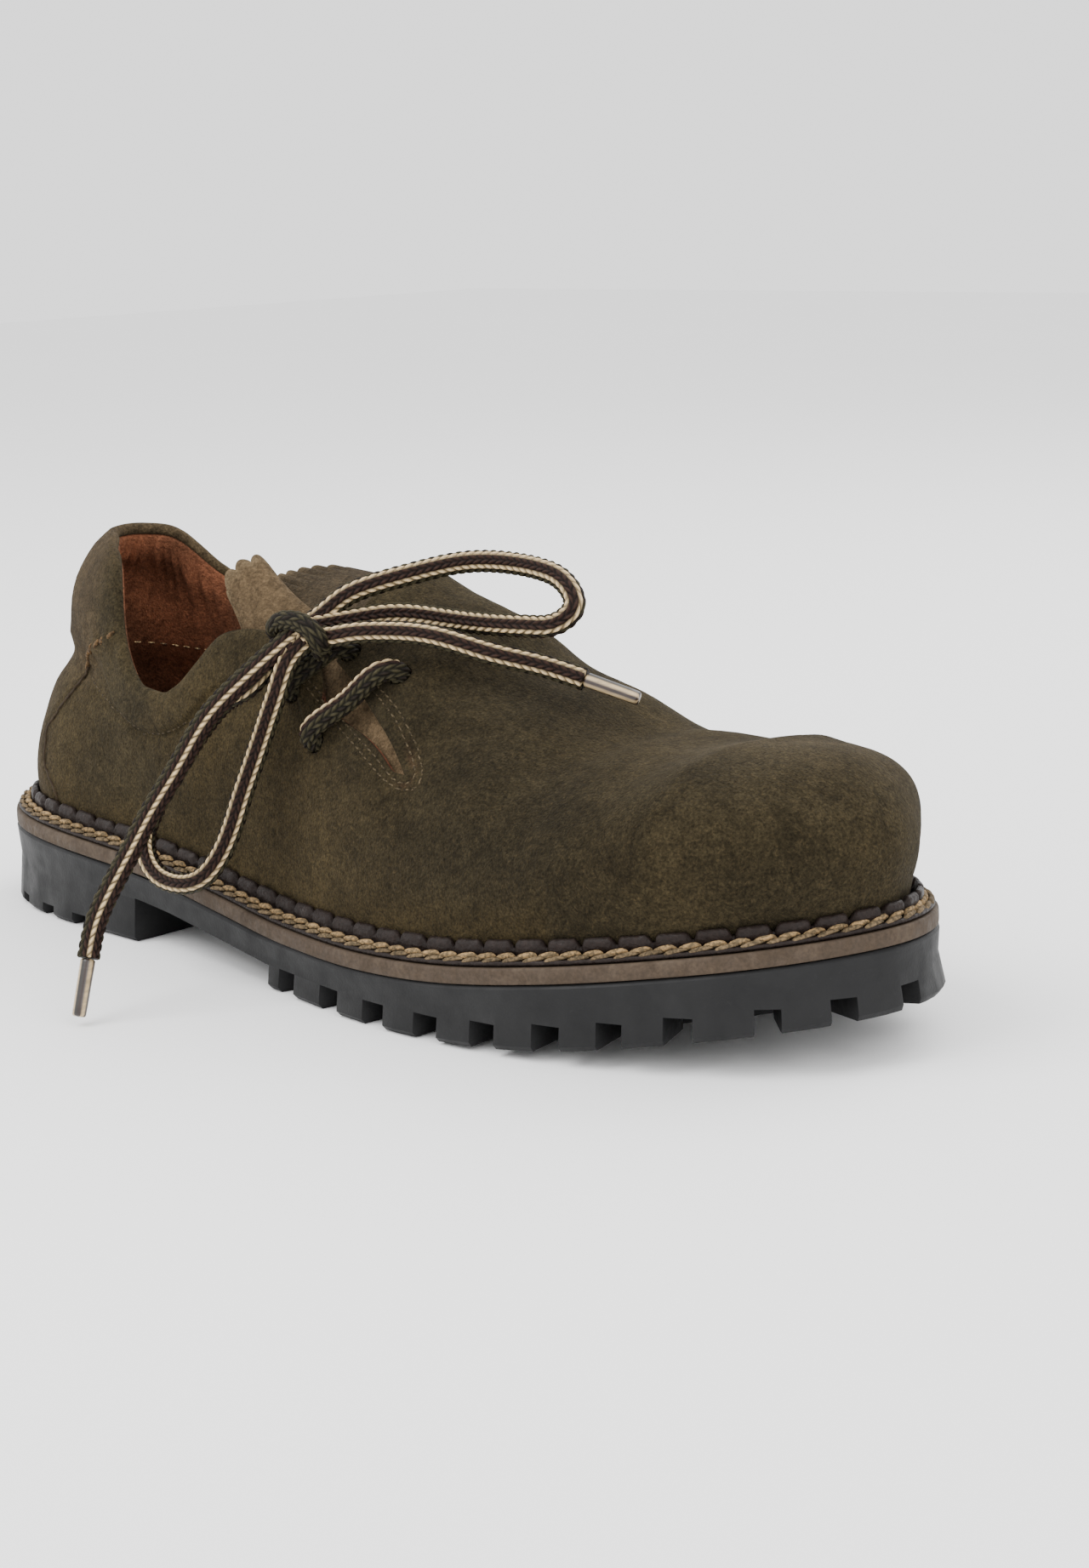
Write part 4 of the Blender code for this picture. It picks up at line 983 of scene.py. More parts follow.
# lines sewn or cut on the outer side, each point a share of the way round and a climb
STRIP_SEAM = (
    (0.0903, 0.245), (0.0889, 0.235), (0.0847, 0.205), (0.0785, 0.18), (0.0736, 0.160), (0.0690, 0.14),
    (0.0653, 0.125), (0.0655, 0.11), (0.0667, 0.095), (0.0694, 0.065), (0.0764, 0.045), (0.0806, 0.020),
)
HEEL_FRONT = ((0.1194, 0.325), (0.1125, 0.310), (0.1042, 0.290), (0.0972, 0.270), (0.0903, 0.250))
BAND_SEAM = (
    (0.0925, 0.250), (0.1028, 0.225), (0.1153, 0.205), (0.1222, 0.195), (0.1333, 0.180), (0.1431, 0.170),
    (0.1569, 0.185), (0.170, 0.222), (0.182, 0.275),
)
SLIT_OUTER = (
    (0.2306, 0.465), (0.2389, 0.455), (0.2583, 0.425), (0.2750, 0.395), (0.2889, 0.375), (0.2975, 0.380),
    (0.3035, 0.397), (0.3052, 0.425), (0.3042, 0.455), (0.3014, 0.475), (0.2944, 0.510), (0.2847, 0.535),
    (0.2722, 0.555), (0.2583, 0.573),
)
SLIT_INNER = (
    (0.2333, 0.478), (0.2444, 0.466), (0.2639, 0.436), (0.2792, 0.410), (0.2903, 0.393), (0.2972, 0.393),
    (0.3010, 0.408), (0.3018, 0.430), (0.3000, 0.455), (0.2944, 0.485), (0.2847, 0.514), (0.2722, 0.537),
    (0.2597, 0.560),
)

# soft creases of the roughout: ends in millimetres on the last's frame, depth and width in millimetres
CREASES = (
    (((196, -52, 50), (212, -50, 44), (232, -47, 38)), -0.9, 9),
    (((182, -38, 66), (204, -33, 66), (226, -24, 62)), -0.7, 10),
    (((222, -40, 52), (236, -34, 56), (244, -24, 60)), -0.7, 10),
    (((150, -50, 45), (156, -53, 38), (168, -55, 32)), -0.6, 8),
    (((128, -42, 58), (132, -45, 48), (142, -48, 38)), 0.7, 10),
    (((60, -35, 50), (72, -38, 44), (86, -39, 40)), -0.8, 8),
    (((66, -34, 56), (80, -37, 51), (96, -39, 50)), 0.5, 7),
    (((104, -43, 46), (112, -45, 40), (116, -46, 33)), -0.5, 8),
    (((200, 30, 62), (216, 34, 54), (232, 36, 46)), -0.8, 11),
    (((120, 36, 60), (136, 38, 50), (150, 38, 40)), -0.7, 11),
)


# where the toe box stands fuller or flatter than the last: centre, reach and lift in millimetres
TOE_FORM = (
    ((293, 30, 40), 17, -1.5), ((300, 8, 40), 14, -0.8), ((284, 28, 57), 12, 2.2), ((268, 20, 68), 15, -1.2),
    ((286, 6, 62), 12, 0.3), ((252, 0, 66), 14, 0.6), ((270, -30, 58), 14, 0.9),
)


# a whole share and a whole climb are about so many millimetres, and lines are read at such a pitch
SPAN, PITCH = (300.0, 100.0), 0.4


def on_last(last: Last, line: Sequence, offset: float = 0.0) -> Array:
    """Lays a line over the last.

    Args:
        last: the last.
        line: rows of share and climb.
        offset: how far above the last the line lies.

    Returns:
        Points along the line, PITCH millimetres apart.
    """
    rows = evenly(np.array(line) * SPAN, PITCH) / SPAN
    return last.point(rows[:, 0], rows[:, 1], offset + TOUCH)


def crest_climb(last: Last, share: Array) -> Array:
    """The climb at which the side walls end and the vamp's top begins."""
    rows = (
        (0.2979, 0.418), (0.33, 0.47), (0.37, 0.53), (FRONT_CORNER, 0.56), (0.46, 0.56), (0.54, 0.56),
        (2 * last.tip - FRONT_CORNER, 0.56), (0.64, 0.54), (0.70, 0.52), (0.75, 0.50), (MEDIAL_THROAT, 0.55),
    )
    return Table("share climb", *rows).at("climb", share)


@dataclass
class Upper:
    """The roughout leather, its lining and the holes for the lace."""

    last: Last
    wall: float = 2.3 * MM
    leather: float = 1.25 * MM
    collar_pad: float = 1.6 * MM
    hole: float = 2.95 * MM
    pucker: float = 4.2 * MM
    cover: bpy.types.Object | None = None
    inside: bpy.types.Object | None = None

    def skin(self, fine: int, low_parts: int, high_parts: int, drop: float = 0.0) -> Skin:
        """Lays out the grid.

        Args:
            fine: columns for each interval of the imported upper.
            low_parts: rows for each interval below the collar's seam.
            high_parts: rows for each interval above it.
            drop: how far the collar's top row lies below the rim.

        Returns:
            The grid's shares, climbs, pads and quads.
        """
        last, tip = self.last, self.last.tip
        fore = [*OPENING_SHARES, *np.linspace(OPENING_SHARES[-1], FRONT_CORNER, 11)[1:]]
        toe = list(np.linspace(FRONT_CORNER, 2 * tip - FRONT_CORNER, TOE_STEPS + 1)[1:])
        inner_fore = list(np.linspace(toe[-1], MEDIAL_THROAT, FORE_STEPS + 1)[1:])
        inner = [1 - s for s in (0.195, 0.186, 0.178, 0.170, *BACK_SHARES[:0:-1])]
        first = (len(BACK_SHARES) + len(SIDE_SHARES)) * fine
        end, corner = first + (len(OPENING_SHARES) - 1) * fine, first + FORE_STEPS * fine
        throat = corner + (TOE_STEPS + FORE_STEPS) * fine
        share = fine_steps([*BACK_SHARES, *SIDE_SHARES, *fore, *toe, *inner_fore, *inner, 1.0], fine)[:-1]
        signed = np.where(share > 0.5, share - 1, share)
        rise = COLLAR.at("top", signed) * last.collar_rise
        top = last.climb_at(share, rise - drop)
        seam = last.climb_at(share, COLLAR.at("seam", signed) * last.collar_rise)
        pad = COLLAR.at("pad", signed) * self.collar_pad
        index = np.arange(len(share))
        is_fore, is_slit = (index >= end) & (index <= throat), (index >= first) & (index < end)
        top = np.where(is_slit, SLIT.at("lower", share), np.where(is_fore, crest_climb(last, share), top))
        seam = np.where(is_fore | is_slit, top * 0.80, seam)
        pad = np.where(is_fore, 0, pad)
        low = fine_steps((0, 0.12, 0.34, 0.58, 0.80, 0.95, 1.0), low_parts)
        high = fine_steps((0, 0.12, 0.38, 0.64, 0.85, 1.0), high_parts)[1:]
        climbs = np.vstack([seam * f for f in low] + [mix(seam, top, f) for f in high])
        puff = np.interp(high, (0, 0.12, 0.38, 0.64, 0.85, 1), (0, 0.85, 1, 1, 0.95, 0.6))
        pads = np.vstack([np.zeros((len(low), len(share)))] + [pad * f for f in puff])
        rows, columns = climbs.shape
        faces = np.array(ring_faces(columns, rows))
        top_row = (rows - 1) * columns
        steps, across = FORE_STEPS * fine, TOE_STEPS * fine
        grid = np.full((steps + 1, across + 1), -1)
        grid[steps] = top_row + corner + np.arange(across + 1)
        grid[:, across] = top_row + throat - np.arange(steps + 1)
        free = end - first
        grid[free:, 0] = top_row + first + np.arange(free, steps + 1)
        start = rows * columns
        grid[:free, 0] = start + np.arange(free)
        extra_share = share[first:end]
        extra_climb = SLIT.at("upper", extra_share)
        all_share = np.concatenate([np.tile(share, rows), extra_share])
        all_climb = np.concatenate([climbs.reshape(-1), extra_climb])
        edges = [self.plan(all_share[k], all_climb[k]) for k in (grid[:, 0], grid[:, across], grid[steps])]
        rim = np.array(THROAT) * (last.length, last.ball_width / 2)
        rear = spline([edges[0][0], *rim, edges[1][0]])(np.linspace(0, 1, across + 1))
        u = (np.arange(steps) / steps)[:, None, None]
        v = (np.arange(1, across) / across)[None, :, None]
        a, b, front = edges[0][:steps, None], edges[1][:steps, None], edges[2][None, 1:-1]
        flat = mix(a, b, v) + mix(rear[None, 1:-1], front, u)
        flat = flat - mix(mix(edges[0][0], edges[1][0], v), mix(edges[0][-1], edges[1][-1], v), u)
        in_share, in_climb = last.on(flat)
        grid[:steps, 1:across] = start + free + np.arange(steps * (across - 1)).reshape(steps, across - 1)
        quads = np.stack([grid[:-1, :-1], grid[1:, :-1], grid[1:, 1:], grid[:-1, 1:]], -1).reshape(-1, 4)
        count = free + in_share.size
        blank = np.zeros(count)
        collar = np.concatenate([np.tile(~(is_fore | is_slit), rows), blank > 0])
        return Skin(
            np.concatenate([all_share, in_share.reshape(-1)]),
            np.concatenate([all_climb, in_climb.reshape(-1)]),
            np.concatenate([pads.reshape(-1), blank]),
            np.vstack([faces, quads]),
            columns,
            top_row + np.flatnonzero(~(is_fore | is_slit)),
            collar,
        )

    def plan(self, share: Array, climb: Array) -> Array:
        """Plan points of places on the last."""
        edge, foot, _, _, square, _ = self.last.frame(share)
        return foot + (edge - foot) * (np.cos(climb * math.pi / 2) ** (2 / square))[..., None]

    def rim_distance(self, skin: Skin, points: Array) -> Array:
        """How far each point of the collar lies from its rim; others are far."""
        distance = np.full(len(points), 1.0)
        distance[skin.collar] = near(points[skin.collar], points[skin.top])[0]
        return distance

    def relief(self, skin: Skin, points: Array) -> Array:
        """Shapes the leather's creases, seams and uneven nap.

        Args:
            skin: the grid.
            points: its points on the bare last.

        Returns:
            How far each point stands out, in metres.
        """
        offset = np.zeros(len(points))
        for line, deep, wide in CREASES:
            distance, index = near(points, evenly(np.array(line) * MM, 1.5 * MM))
            count = index.max() + 1
            ends = np.sin(np.clip((index + 0.5) / count, 0, 1) * math.pi) ** 0.5
            offset += deep * MM * bell(distance, wide * MM) * ends
        for centre, reach, lift in TOE_FORM:
            offset += lift * MM * bell(np.linalg.norm(points - np.array(centre) * MM, axis=1), reach * MM)
        for inner_side, line in enumerate(both_sides(STRIP_SEAM)):
            distance = near(points, on_last(self.last, line))[0]
            along = np.array(line)
            order = np.argsort(along[:, 1])
            limit = np.interp(skin.climb, along[order, 1], along[order, 0])
            behind = skin.share > limit if inner_side else skin.share < limit
            low = skin.climb < 0.25
            half = (skin.share > 0.5) if inner_side else (skin.share <= 0.5)
            step = np.where(behind, 0.45, 0.0) * smooth(1 - (distance - 0.2 * MM) / (9 * MM))
            offset += np.where(low & half, step * MM, 0)
            offset -= 0.35 * MM * bell(distance, 1.1 * MM) * (low & half)
        for line in both_sides(HEEL_FRONT):
            distance, index = near(points, on_last(self.last, line))
            offset += (1.5 * bell(distance, 2.2 * MM) - 1.1 * bell(distance, 5 * MM)) * MM
            pull = np.sin(index * PITCH * MM / self.pucker * 2 * math.pi)
            offset += 0.5 * MM * bell(distance, 3.4 * MM) * pull
        furrows = [(line, 0.55, 1.5) for line in both_sides(BAND_SEAM)]
        for line, deep, wide in (*furrows, (SLIT_INNER, 0.22, 1.0), (SLIT_OUTER, 0.22, 1.0)):
            offset -= deep * MM * bell(near(points, on_last(self.last, line))[0], wide * MM)
        wave = 0.55 * waves(points, 38) + 0.30 * waves(points, 90, 3) + 0.10 * waves(points, 260)
        low = smooth((points[:, 2] - self.last.feather(points[:, 0])) / (9 * MM))
        return (offset + wave * MM * 0.8) * (0.15 + 0.85 * low)

    def colours(self, points: Array, skin: Skin) -> Array:
        """Colours the leather: olive, with golden strokes, a pale toe with a painted highlight on its top, a
        greyer heel, painted shade on the vamp's lower front and along the back strip's seam, and a painted
        highlight along the collar's rim.

        Args:
            points: the grid's points on the bare last.
            skin: the grid.

        Returns:
            A linear colour for each point.
        """
        x, y, z = (points / MM).T
        olive = np.array(shown(66, 57, 38))
        golden = np.array(shown(88, 73, 44))
        # dark: painted shade on the vamp's lower front, and darker at the toe's outer side
        dark = np.array(shown(52, 45, 30))
        # pale: the toe top's paler nap together with its painted highlight
        pale = np.array(shown(98, 84, 59))
        grey = np.array(shown(100, 83, 60))
        strip = np.array(shown(92, 78, 57))

        def toward(colour: Array, aim: Array, share: Array) -> Array:
            """The colour brought towards another one by a share."""
            return mix(colour, aim, np.clip(share, 0, 1)[:, None])

        cloud = waves(points, 24) + 0.5 * waves(points, 60, 7)
        colour = toward(np.tile(olive, (len(points), 1)), golden,
                        (0.35 + 0.8 * cloud) * (1 - 0.75 * smooth((x - 232) / 30)))
        colour = toward(colour, golden, 0.85 * bell(np.hypot(x - 146, z - 42), 24) * (y < 0))
        # painted shade on the vamp's lower front, its shadow side
        colour = toward(colour, dark, 0.85 * bell(np.hypot(x - 205, (z - 42) * 1.2), 38) * (y < 10))
        colour = toward(colour, dark, 0.6 * bell(np.hypot(x - 236, y + 34), 20))
        low = z - (self.last.feather(points[:, 0]) / MM)
        colour = toward(colour, golden, 0.75 * bell(low - 4, 9) * (x < 240))
        # paler nap and a painted highlight on the toe's top, where the light falls
        for place, wide in (((272, 8, 69), 15), ((256, -3, 67), 13), ((283, 22, 62), 12)):
            colour = toward(colour, pale, 0.55 * bell(np.linalg.norm(points / MM - place, axis=1), wide))
        heel = smooth((62 - x) / 16) * smooth((z - 60) / 12)
        colour = toward(colour, grey, 0.75 * heel)
        back = smooth((36 - x) / 8) * smooth((70 - z) / 6)
        colour = toward(colour, strip, 0.7 * back)
        # painted shade along the back strip's seam
        edge = near(points, on_last(self.last, STRIP_SEAM))[0]
        colour = colour * (1 - 0.55 * bell(edge, 1.0 * MM))[:, None]
        # painted highlight along the collar's rolled rim
        rim = self.rim_distance(skin, points)
        return colour * (1 + 0.18 * bell(rim, 2.5 * MM))[:, None]

    def holes(self) -> list[tuple[Array, Array]]:
        """Centre and outward direction of each lace hole."""
        frames = []
        for pair in LACE_HOLES:
            for share, climb in pair:
                place = np.array(share), np.array(climb)
                frames.append((self.last.point(*place), self.last.normal(*place)))
        return frames

    def build_cover(self) -> None:
        """Builds the leather with its rolled collar, raw slit and lace holes."""
        last = self.last
        skin = self.skin(7, 4, 3)
        base = last.point(skin.share, skin.climb)
        rim = self.rim_distance(skin, base)
        outside = last.point(skin.share, skin.climb, skin.pad + self.relief(skin, base) + TOUCH)
        rolled = smooth(1 - (rim - 0.3 * MM) / (1.0 * MM)) * 0.6
        depth = mix(self.leather, self.wall + 0.4 * skin.pad, rolled)
        inside = last.point(skin.share, skin.climb, -depth)
        inside[: skin.columns, 2] = outside[: skin.columns, 2]
        high = outside[:, 2] > last.feather(outside[:, 0]) + 1 * MM
        bulge = np.where(high, np.where(skin.collar, 0.42, 0.16), 0)
        points, faces = closed_sheet(outside, inside, skin.faces, bulge)
        self.cover = mesh_object("upper_leather", points, faces, Roughout("roughout").build())
        turn_outwards(self.cover)
        cut_round(self.cover, self.holes(), self.hole, 2.2 * self.wall)
        self.dress(skin, base)
        declare(self.cover, "upper")

    def dress(self, skin: Skin, base: Array) -> None:
        """Paints the leather, with the slit's pinkish raw edges.

        Args:
            skin: the cover's grid.
            base: its points on the bare last.
        """
        places = corners(self.cover)
        shades = self.colours(base, skin)
        tree = BVHTree.FromPolygons((base + SHIFT).tolist(), skin.faces.tolist())
        colour = np.empty((len(places), 3))
        deep = np.empty(len(places))
        for k, p in enumerate(places):
            hit, normal, face, _ = tree.find_nearest(Vector(p + SHIFT))
            colour[k] = shades[skin.faces[face]].mean(0)
            deep[k] = (Vector(p + SHIFT) - hit).dot(normal)
        slit = np.vstack([on_last(self.last, SLIT.rows[:, [0, k]]) for k in (1, 2)])
        raw = smooth((-deep - 0.25 * MM) / (0.35 * MM)) * bell(near(places, slit)[0], 2.2 * MM)
        colour = mix(colour, np.array(shown(150, 92, 72)), (0.85 * raw)[:, None])
        paint(self.cover, colour)

    def build_lining(self) -> None:
        """Builds the suede lining with its gathers round the heel."""
        last = self.last
        skin = self.skin(4, 3, 4, 0.5 * MM)
        base = last.point(skin.share, skin.climb)
        rim = self.rim_distance(skin, base)
        signed = np.where(skin.share > 0.5, skin.share - 1, skin.share)
        run = signed * last.round
        fold = np.sin(run / (7.4 * MM) * 2 * math.pi + 1.6 * np.sin(run / (23 * MM) * 2 * math.pi))
        around_heel = smooth((0.120 - np.abs(signed)) / 0.03) * skin.collar
        heel = around_heel * bell(rim - 10 * MM, 8 * MM)
        roll = around_heel * (1.6 * bell(rim - 6 * MM, 5 * MM) - 0.8 * bell(rim - 18 * MM, 7 * MM)) * MM
        gather = ((0.9 * fold * heel + 0.35 * waves(base, 70)) * MM + roll) * smooth(rim / (2 * MM))
        outside = last.point(skin.share, skin.climb, -self.leather - 0.12 * MM)
        depth = self.wall + 0.4 * skin.pad + np.maximum(gather, -0.7 * MM)
        inside = last.point(skin.share, skin.climb, -depth)
        inside[: skin.columns, 2] = outside[: skin.columns, 2]
        points, faces = closed_sheet(outside, inside, skin.faces, np.full(len(outside), 0.1), 1)
        finish = Roughout("lining_suede", shown(168, 118, 84), 0.22, 0.4)
        self.inside = mesh_object("lining", points, faces, finish.build())
        turn_outwards(self.inside)
        cut_round(self.inside, self.holes(), self.hole, 2.2 * self.wall)
        places = corners(self.inside)
        # a lit and a shaded copy of the lining's brown, painted as light and shade in random patches
        lit, shaded_brown = np.array(shown(176, 128, 92)), np.array(shown(122, 80, 56))
        tone = 0.5 + 0.8 * waves(places, 45)
        paint(self.inside, mix(shaded_brown, lit, np.clip(tone, 0, 1)[:, None]))
        declare(self.inside, "upper")


@dataclass
class Stitches:
    """Rows of beads of thread laid on a surface, all in one piece.

    Each bead is turned by slant in the surface, rears up by a share of its length, and sinks in. The uneven
    share is how much the beads differ in turn, length and place.
    """

    name: str
    finish: Thread
    length: float
    width: float
    height: float
    slant: float = 0.0
    sink: float = 0.0
    rings: int = 4
    sides: int = 5
    rear: float = 0.0
    uneven: float = 0.10

    def bead(self) -> tuple[Array, list]:
        """One bead along x, from -0.5 to 0.5, with unit width and height."""
        along = -0.5 * np.cos(np.linspace(0, math.pi, self.rings + 2))[1:-1]
        girth = (1 - np.abs(2 * along) ** 2.6) ** 0.6
        droop = 0.35
        turn = np.arange(self.sides) * 2 * math.pi / self.sides
        across, up = np.cos(turn), np.sin(turn)
        rings = [
            np.column_stack([np.full(self.sides, a), across * g / 2, up * g / 2 - droop * (2 * a) ** 4])
            for a, g in zip(along, girth)
        ]
        points = np.vstack([*rings, [[-0.5, 0, -droop], [0.5, 0, -droop]]])
        return points, [*ring_faces(self.sides, self.rings), *fan_faces(self.sides, self.rings)]

    def lay(self, rows: Sequence[tuple[Array, Array]], node: str) -> None:
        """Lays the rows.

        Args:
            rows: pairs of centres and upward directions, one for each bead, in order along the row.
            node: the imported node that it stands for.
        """
        bead, faces = self.bead()
        flat = [tuple(f) for f in faces]
        points, solid, start = [], [], 0
        for row, (centres, ups) in enumerate(rows):
            ahead = unit(np.gradient(centres, axis=0))
            ups = unit(ups - ahead * (ups * ahead).sum(1)[:, None])
            sides = np.cross(ups, ahead)
            for k, (c, t, s, n) in enumerate(zip(centres, ahead, sides, ups)):
                jitter = noise.noise_vector(Vector((k * 1.37, row * 5.1, 0.3)))
                turn = self.slant + self.uneven * jitter[0]
                along = math.cos(turn) * t + math.sin(turn) * s + n * self.rear
                across = math.cos(turn) * s - math.sin(turn) * t
                size = 1 + self.uneven * jitter[1]
                place = c - n * self.sink + s * self.width * self.uneven * jitter[2]
                points.append(place + bead[:, :1] * self.length * size * along
                              + bead[:, 1:2] * self.width * across + bead[:, 2:] * self.height * n)
                solid += [tuple(i + start for i in f) for f in flat]
                start += len(bead)
        piece = mesh_object(self.name, np.vstack(points), solid, self.finish.build())
        turn_outwards(piece)
        declare(piece, node)


def sewn_row(surface: BVHTree, line: Array, pitch: float) -> tuple[Array, Array]:
    """Places a row of stitches on a surface.

    Args:
        surface: the surface's search tree.
        line: points near it, along the row.
        pitch: the stitches' pitch.

    Returns:
        The stitches' centres and the surface's normals there.
    """
    centres, ups = [], []
    for p in evenly(line, pitch):
        hit, normal, _, _ = surface.find_nearest(Vector(p + SHIFT))
        centres.append(np.array(hit) - SHIFT)
        ups.append(np.array(normal))
    return np.array(centres), np.array(ups)


def surface_of(piece: bpy.types.Object) -> BVHTree:
    """A search tree over a piece's faces."""
    faces = [tuple(f.vertices) for f in piece.data.polygons]
    return BVHTree.FromPolygons([v.co for v in piece.data.vertices], faces)


@dataclass
class Sewing:
    """The seams of the upper and its lining."""

    last: Last
    upper: Upper
    edge_half: tuple[float, float] = (0.42 * MM, 0.30 * MM)

    def build(self) -> None:
        """Lays every visible row of stitches on the leather and the lining."""
        cover, lining = surface_of(self.upper.cover), surface_of(self.upper.inside)
        seam = Thread("seam_thread", shown(138, 122, 92), shown(58, 48, 32))
        heel = Thread("heel_thread", shown(142, 112, 70), shown(84, 62, 38))
        pale = Thread("lining_thread", shown(226, 216, 198), shown(150, 136, 116))
        fine = Stitches("upper_stitches", seam, length=1.9 * MM, width=0.5 * MM, height=0.45 * MM, slant=0.12)
        seams = (*both_sides(BAND_SEAM), SLIT_INNER, SLIT_OUTER)
        fine.lay(self.rows(cover, seams, 0.6 * MM, 2.4 * MM), "upper")
        thick = Stitches("heel_seam_thread", heel, length=4.6 * MM, width=1.5 * MM, height=1.3 * MM,
                         slant=0.35, sink=0.1 * MM, rings=6, sides=6)
        thick.lay(self.rows(cover, both_sides(HEEL_FRONT), 1.5 * MM, 3.9 * MM), "upper")
        shares = np.concatenate([np.linspace(-0.235, -0.02, 30), np.linspace(0.0, 0.13, 14)])
        rise = np.interp(shares, (-0.235, -0.13, -0.02, 0.13), (46, 41, 43, 36)) * MM
        climbs = self.last.climb_at(np.mod(shares, 1), rise)
        line = self.last.point(np.mod(shares, 1), climbs, -4.5 * MM)
        plain = Stitches("lining_stitches", pale, length=2.3 * MM, width=0.55 * MM, height=0.5 * MM)
        plain.lay([sewn_row(lining, line, 3.3 * MM)], "upper")
        self.strip_edge(cover)

    def rows(self, cover: BVHTree, lines: Sequence, lift: float, pitch: float) -> list[tuple[Array, Array]]:
        """Rows of stitches on the leather along lines, read at a lift above the last."""
        return [sewn_row(cover, on_last(self.last, line, lift), pitch) for line in lines]

    def strip_edge(self, cover: BVHTree) -> None:
        """Lays the dark cut edge of the back strip, on both sides.

        Args:
            cover: the leather's search tree.
        """
        points, faces, corner_count, start = [], [], 8, 0
        wide, high = self.edge_half
        for centres, ups in self.rows(cover, both_sides(STRIP_SEAM), 0.5 * MM, 0.8 * MM):
            ahead = unit(np.gradient(centres, axis=0))
            sides = np.cross(ups, ahead)
            rings = []
            for a in np.arange(corner_count) * 2 * math.pi / corner_count:
                rings.append(centres + sides * math.cos(a) * wide + ups * math.sin(a) * high)
            stack = np.stack(rings, 1).reshape(-1, 3)
            end = start + len(stack)
            faces += [tuple(i + start for i in f) for f in ring_faces(corner_count, len(centres))]
            faces += [tuple(range(start, start + corner_count)), tuple(range(end - corner_count, end))]
            points.append(stack)
            start = end
        finish = SmoothLeather("strip_edge", shown(62, 46, 28), shown(100, 78, 48), 0.85)
        piece = mesh_object("back_strip_edge", np.vstack(points), faces, finish.build())
        turn_outwards(piece)
        declare(piece, "upper")


# the tongue's lobes from its outer to its inner side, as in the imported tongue
LOBES = Table(
    "across reach lift lean",
    (0, 0.130, 0.40, 0.115),
    (0.08, 0.156, 0.32, 0.078),
    (0.155, 0.149, 0.32, 0.066),
    (0.23, 0.137, 0.32, 0.062),
    (0.31, 0.127, 0.24, 0.058),
    (0.385, 0.104, 0.07, 0.01),
    (0.46, 0.134, 0.07, 0.02),
    (0.54, 0.137, 0.06, 0.015),
    (0.66, 0.131, 0.045, 0.01),
    (0.80, 0.113, 0.045, 0),
    (0.91, 0.097, 0.03, 0),
    (1, 0.074, -0.01, 0),
)


@dataclass
class Tongue:
    """The pinked tongue with its upright outer lobe and its flat inner one."""

    last: Last
    thick: float = 1.7 * MM
    depth: float = 4.2 * MM
    pinks: int = 14
    pink_depth: float = 1.7 * MM

    def sheet(self, rows: int, columns: int) -> Array:
        """Lays out the tongue's middle surface, from its hidden front end to its loose lobes.

        Args:
            rows: steps along the tongue.
            columns: steps across it.

        Returns:
            A grid of points.
        """
        last = self.last
        throat_x = 0.497 * last.length
        v = np.linspace(0, 1, columns + 1)[None, :].repeat(rows + 1, 0)
        i = np.linspace(0, 1, rows + 1)[:, None]
        pink = np.abs(np.sin(v * self.pinks * math.pi)) ** 0.6
        cut = (1 - pink) * self.pink_depth * smooth((i - 0.85) / 0.15)
        reach = LOBES.at("reach", v) * last.length - cut
        x = mix(0.668 * last.length, throat_x - reach, i)
        over, on = np.maximum(0, throat_x - x), np.maximum(x, throat_x)
        edge = np.interp(on, (throat_x, 0.67 * last.length), (-0.66, -0.84))
        y = mix(edge, 0.24, v) * last.ball_width / 2
        share, climb = last.on(np.stack([on, y], -1))
        p = last.point(share, climb, -self.depth)
        back = over / (0.15 * last.length)
        p[..., 0] -= over
        p[..., 1] += LOBES.at("lean", v) * last.ball_width * back
        p[..., 2] += LOBES.at("lift", v) * last.instep_rise * back**1.6
        p[..., 2] -= 0.8 * cut * smooth((v - 0.38) / 0.06)
        return p

    def build(self) -> None:
        """Builds the tongue and paints its two lobes."""
        sheet = self.sheet(70, 208)
        rows, columns = sheet.shape[:2]
        wave = waves(sheet.reshape(-1, 3), 55).reshape(rows, columns, 1)
        normal = unit(np.cross(np.gradient(sheet, axis=1), np.gradient(sheet, axis=0)))
        if normal[rows // 2, columns // 2, 2] < 0:
            normal = -normal
        sheet = sheet + normal * wave * 0.5 * MM
        outside = (sheet + normal * self.thick / 2).reshape(-1, 3)
        inside = (sheet - normal * self.thick / 2).reshape(-1, 3)
        points, faces = closed_sheet(outside, inside, np.array(ring_faces(columns, rows, False)),
                                     np.full(len(outside), 0.18), 2)
        finish = Roughout("tongue_nap", shown(150, 130, 98), 0.18, 0.4)
        piece = mesh_object("tongue_suede", points, faces, finish.build())
        turn_outwards(piece)
        beige, olive, slit, rim = (np.array(shown(*rgb)) for rgb in (
            (128, 107, 78), (86, 72, 53), (160, 142, 110), (150, 134, 104)))
        row, column = np.divmod(near(corners(piece), sheet.reshape(-1, 3))[1], columns)
        side, back = np.linspace(0, 1, columns)[column], np.linspace(0, 1, rows)[row]
        colour = mix(beige, olive, smooth((side - 0.34) / 0.08)[:, None])
        # the tongue's paler suede below the knot, made lighter still as painted light against the lace bars'
        # shadow
        colour = mix(colour, slit, (0.7 * smooth((0.52 - back) / 0.1))[:, None])
        colour = mix(colour, rim, (0.6 * smooth((back - 0.965) / 0.03))[:, None])
        paint(piece, colour)
        declare(piece, "tongue")


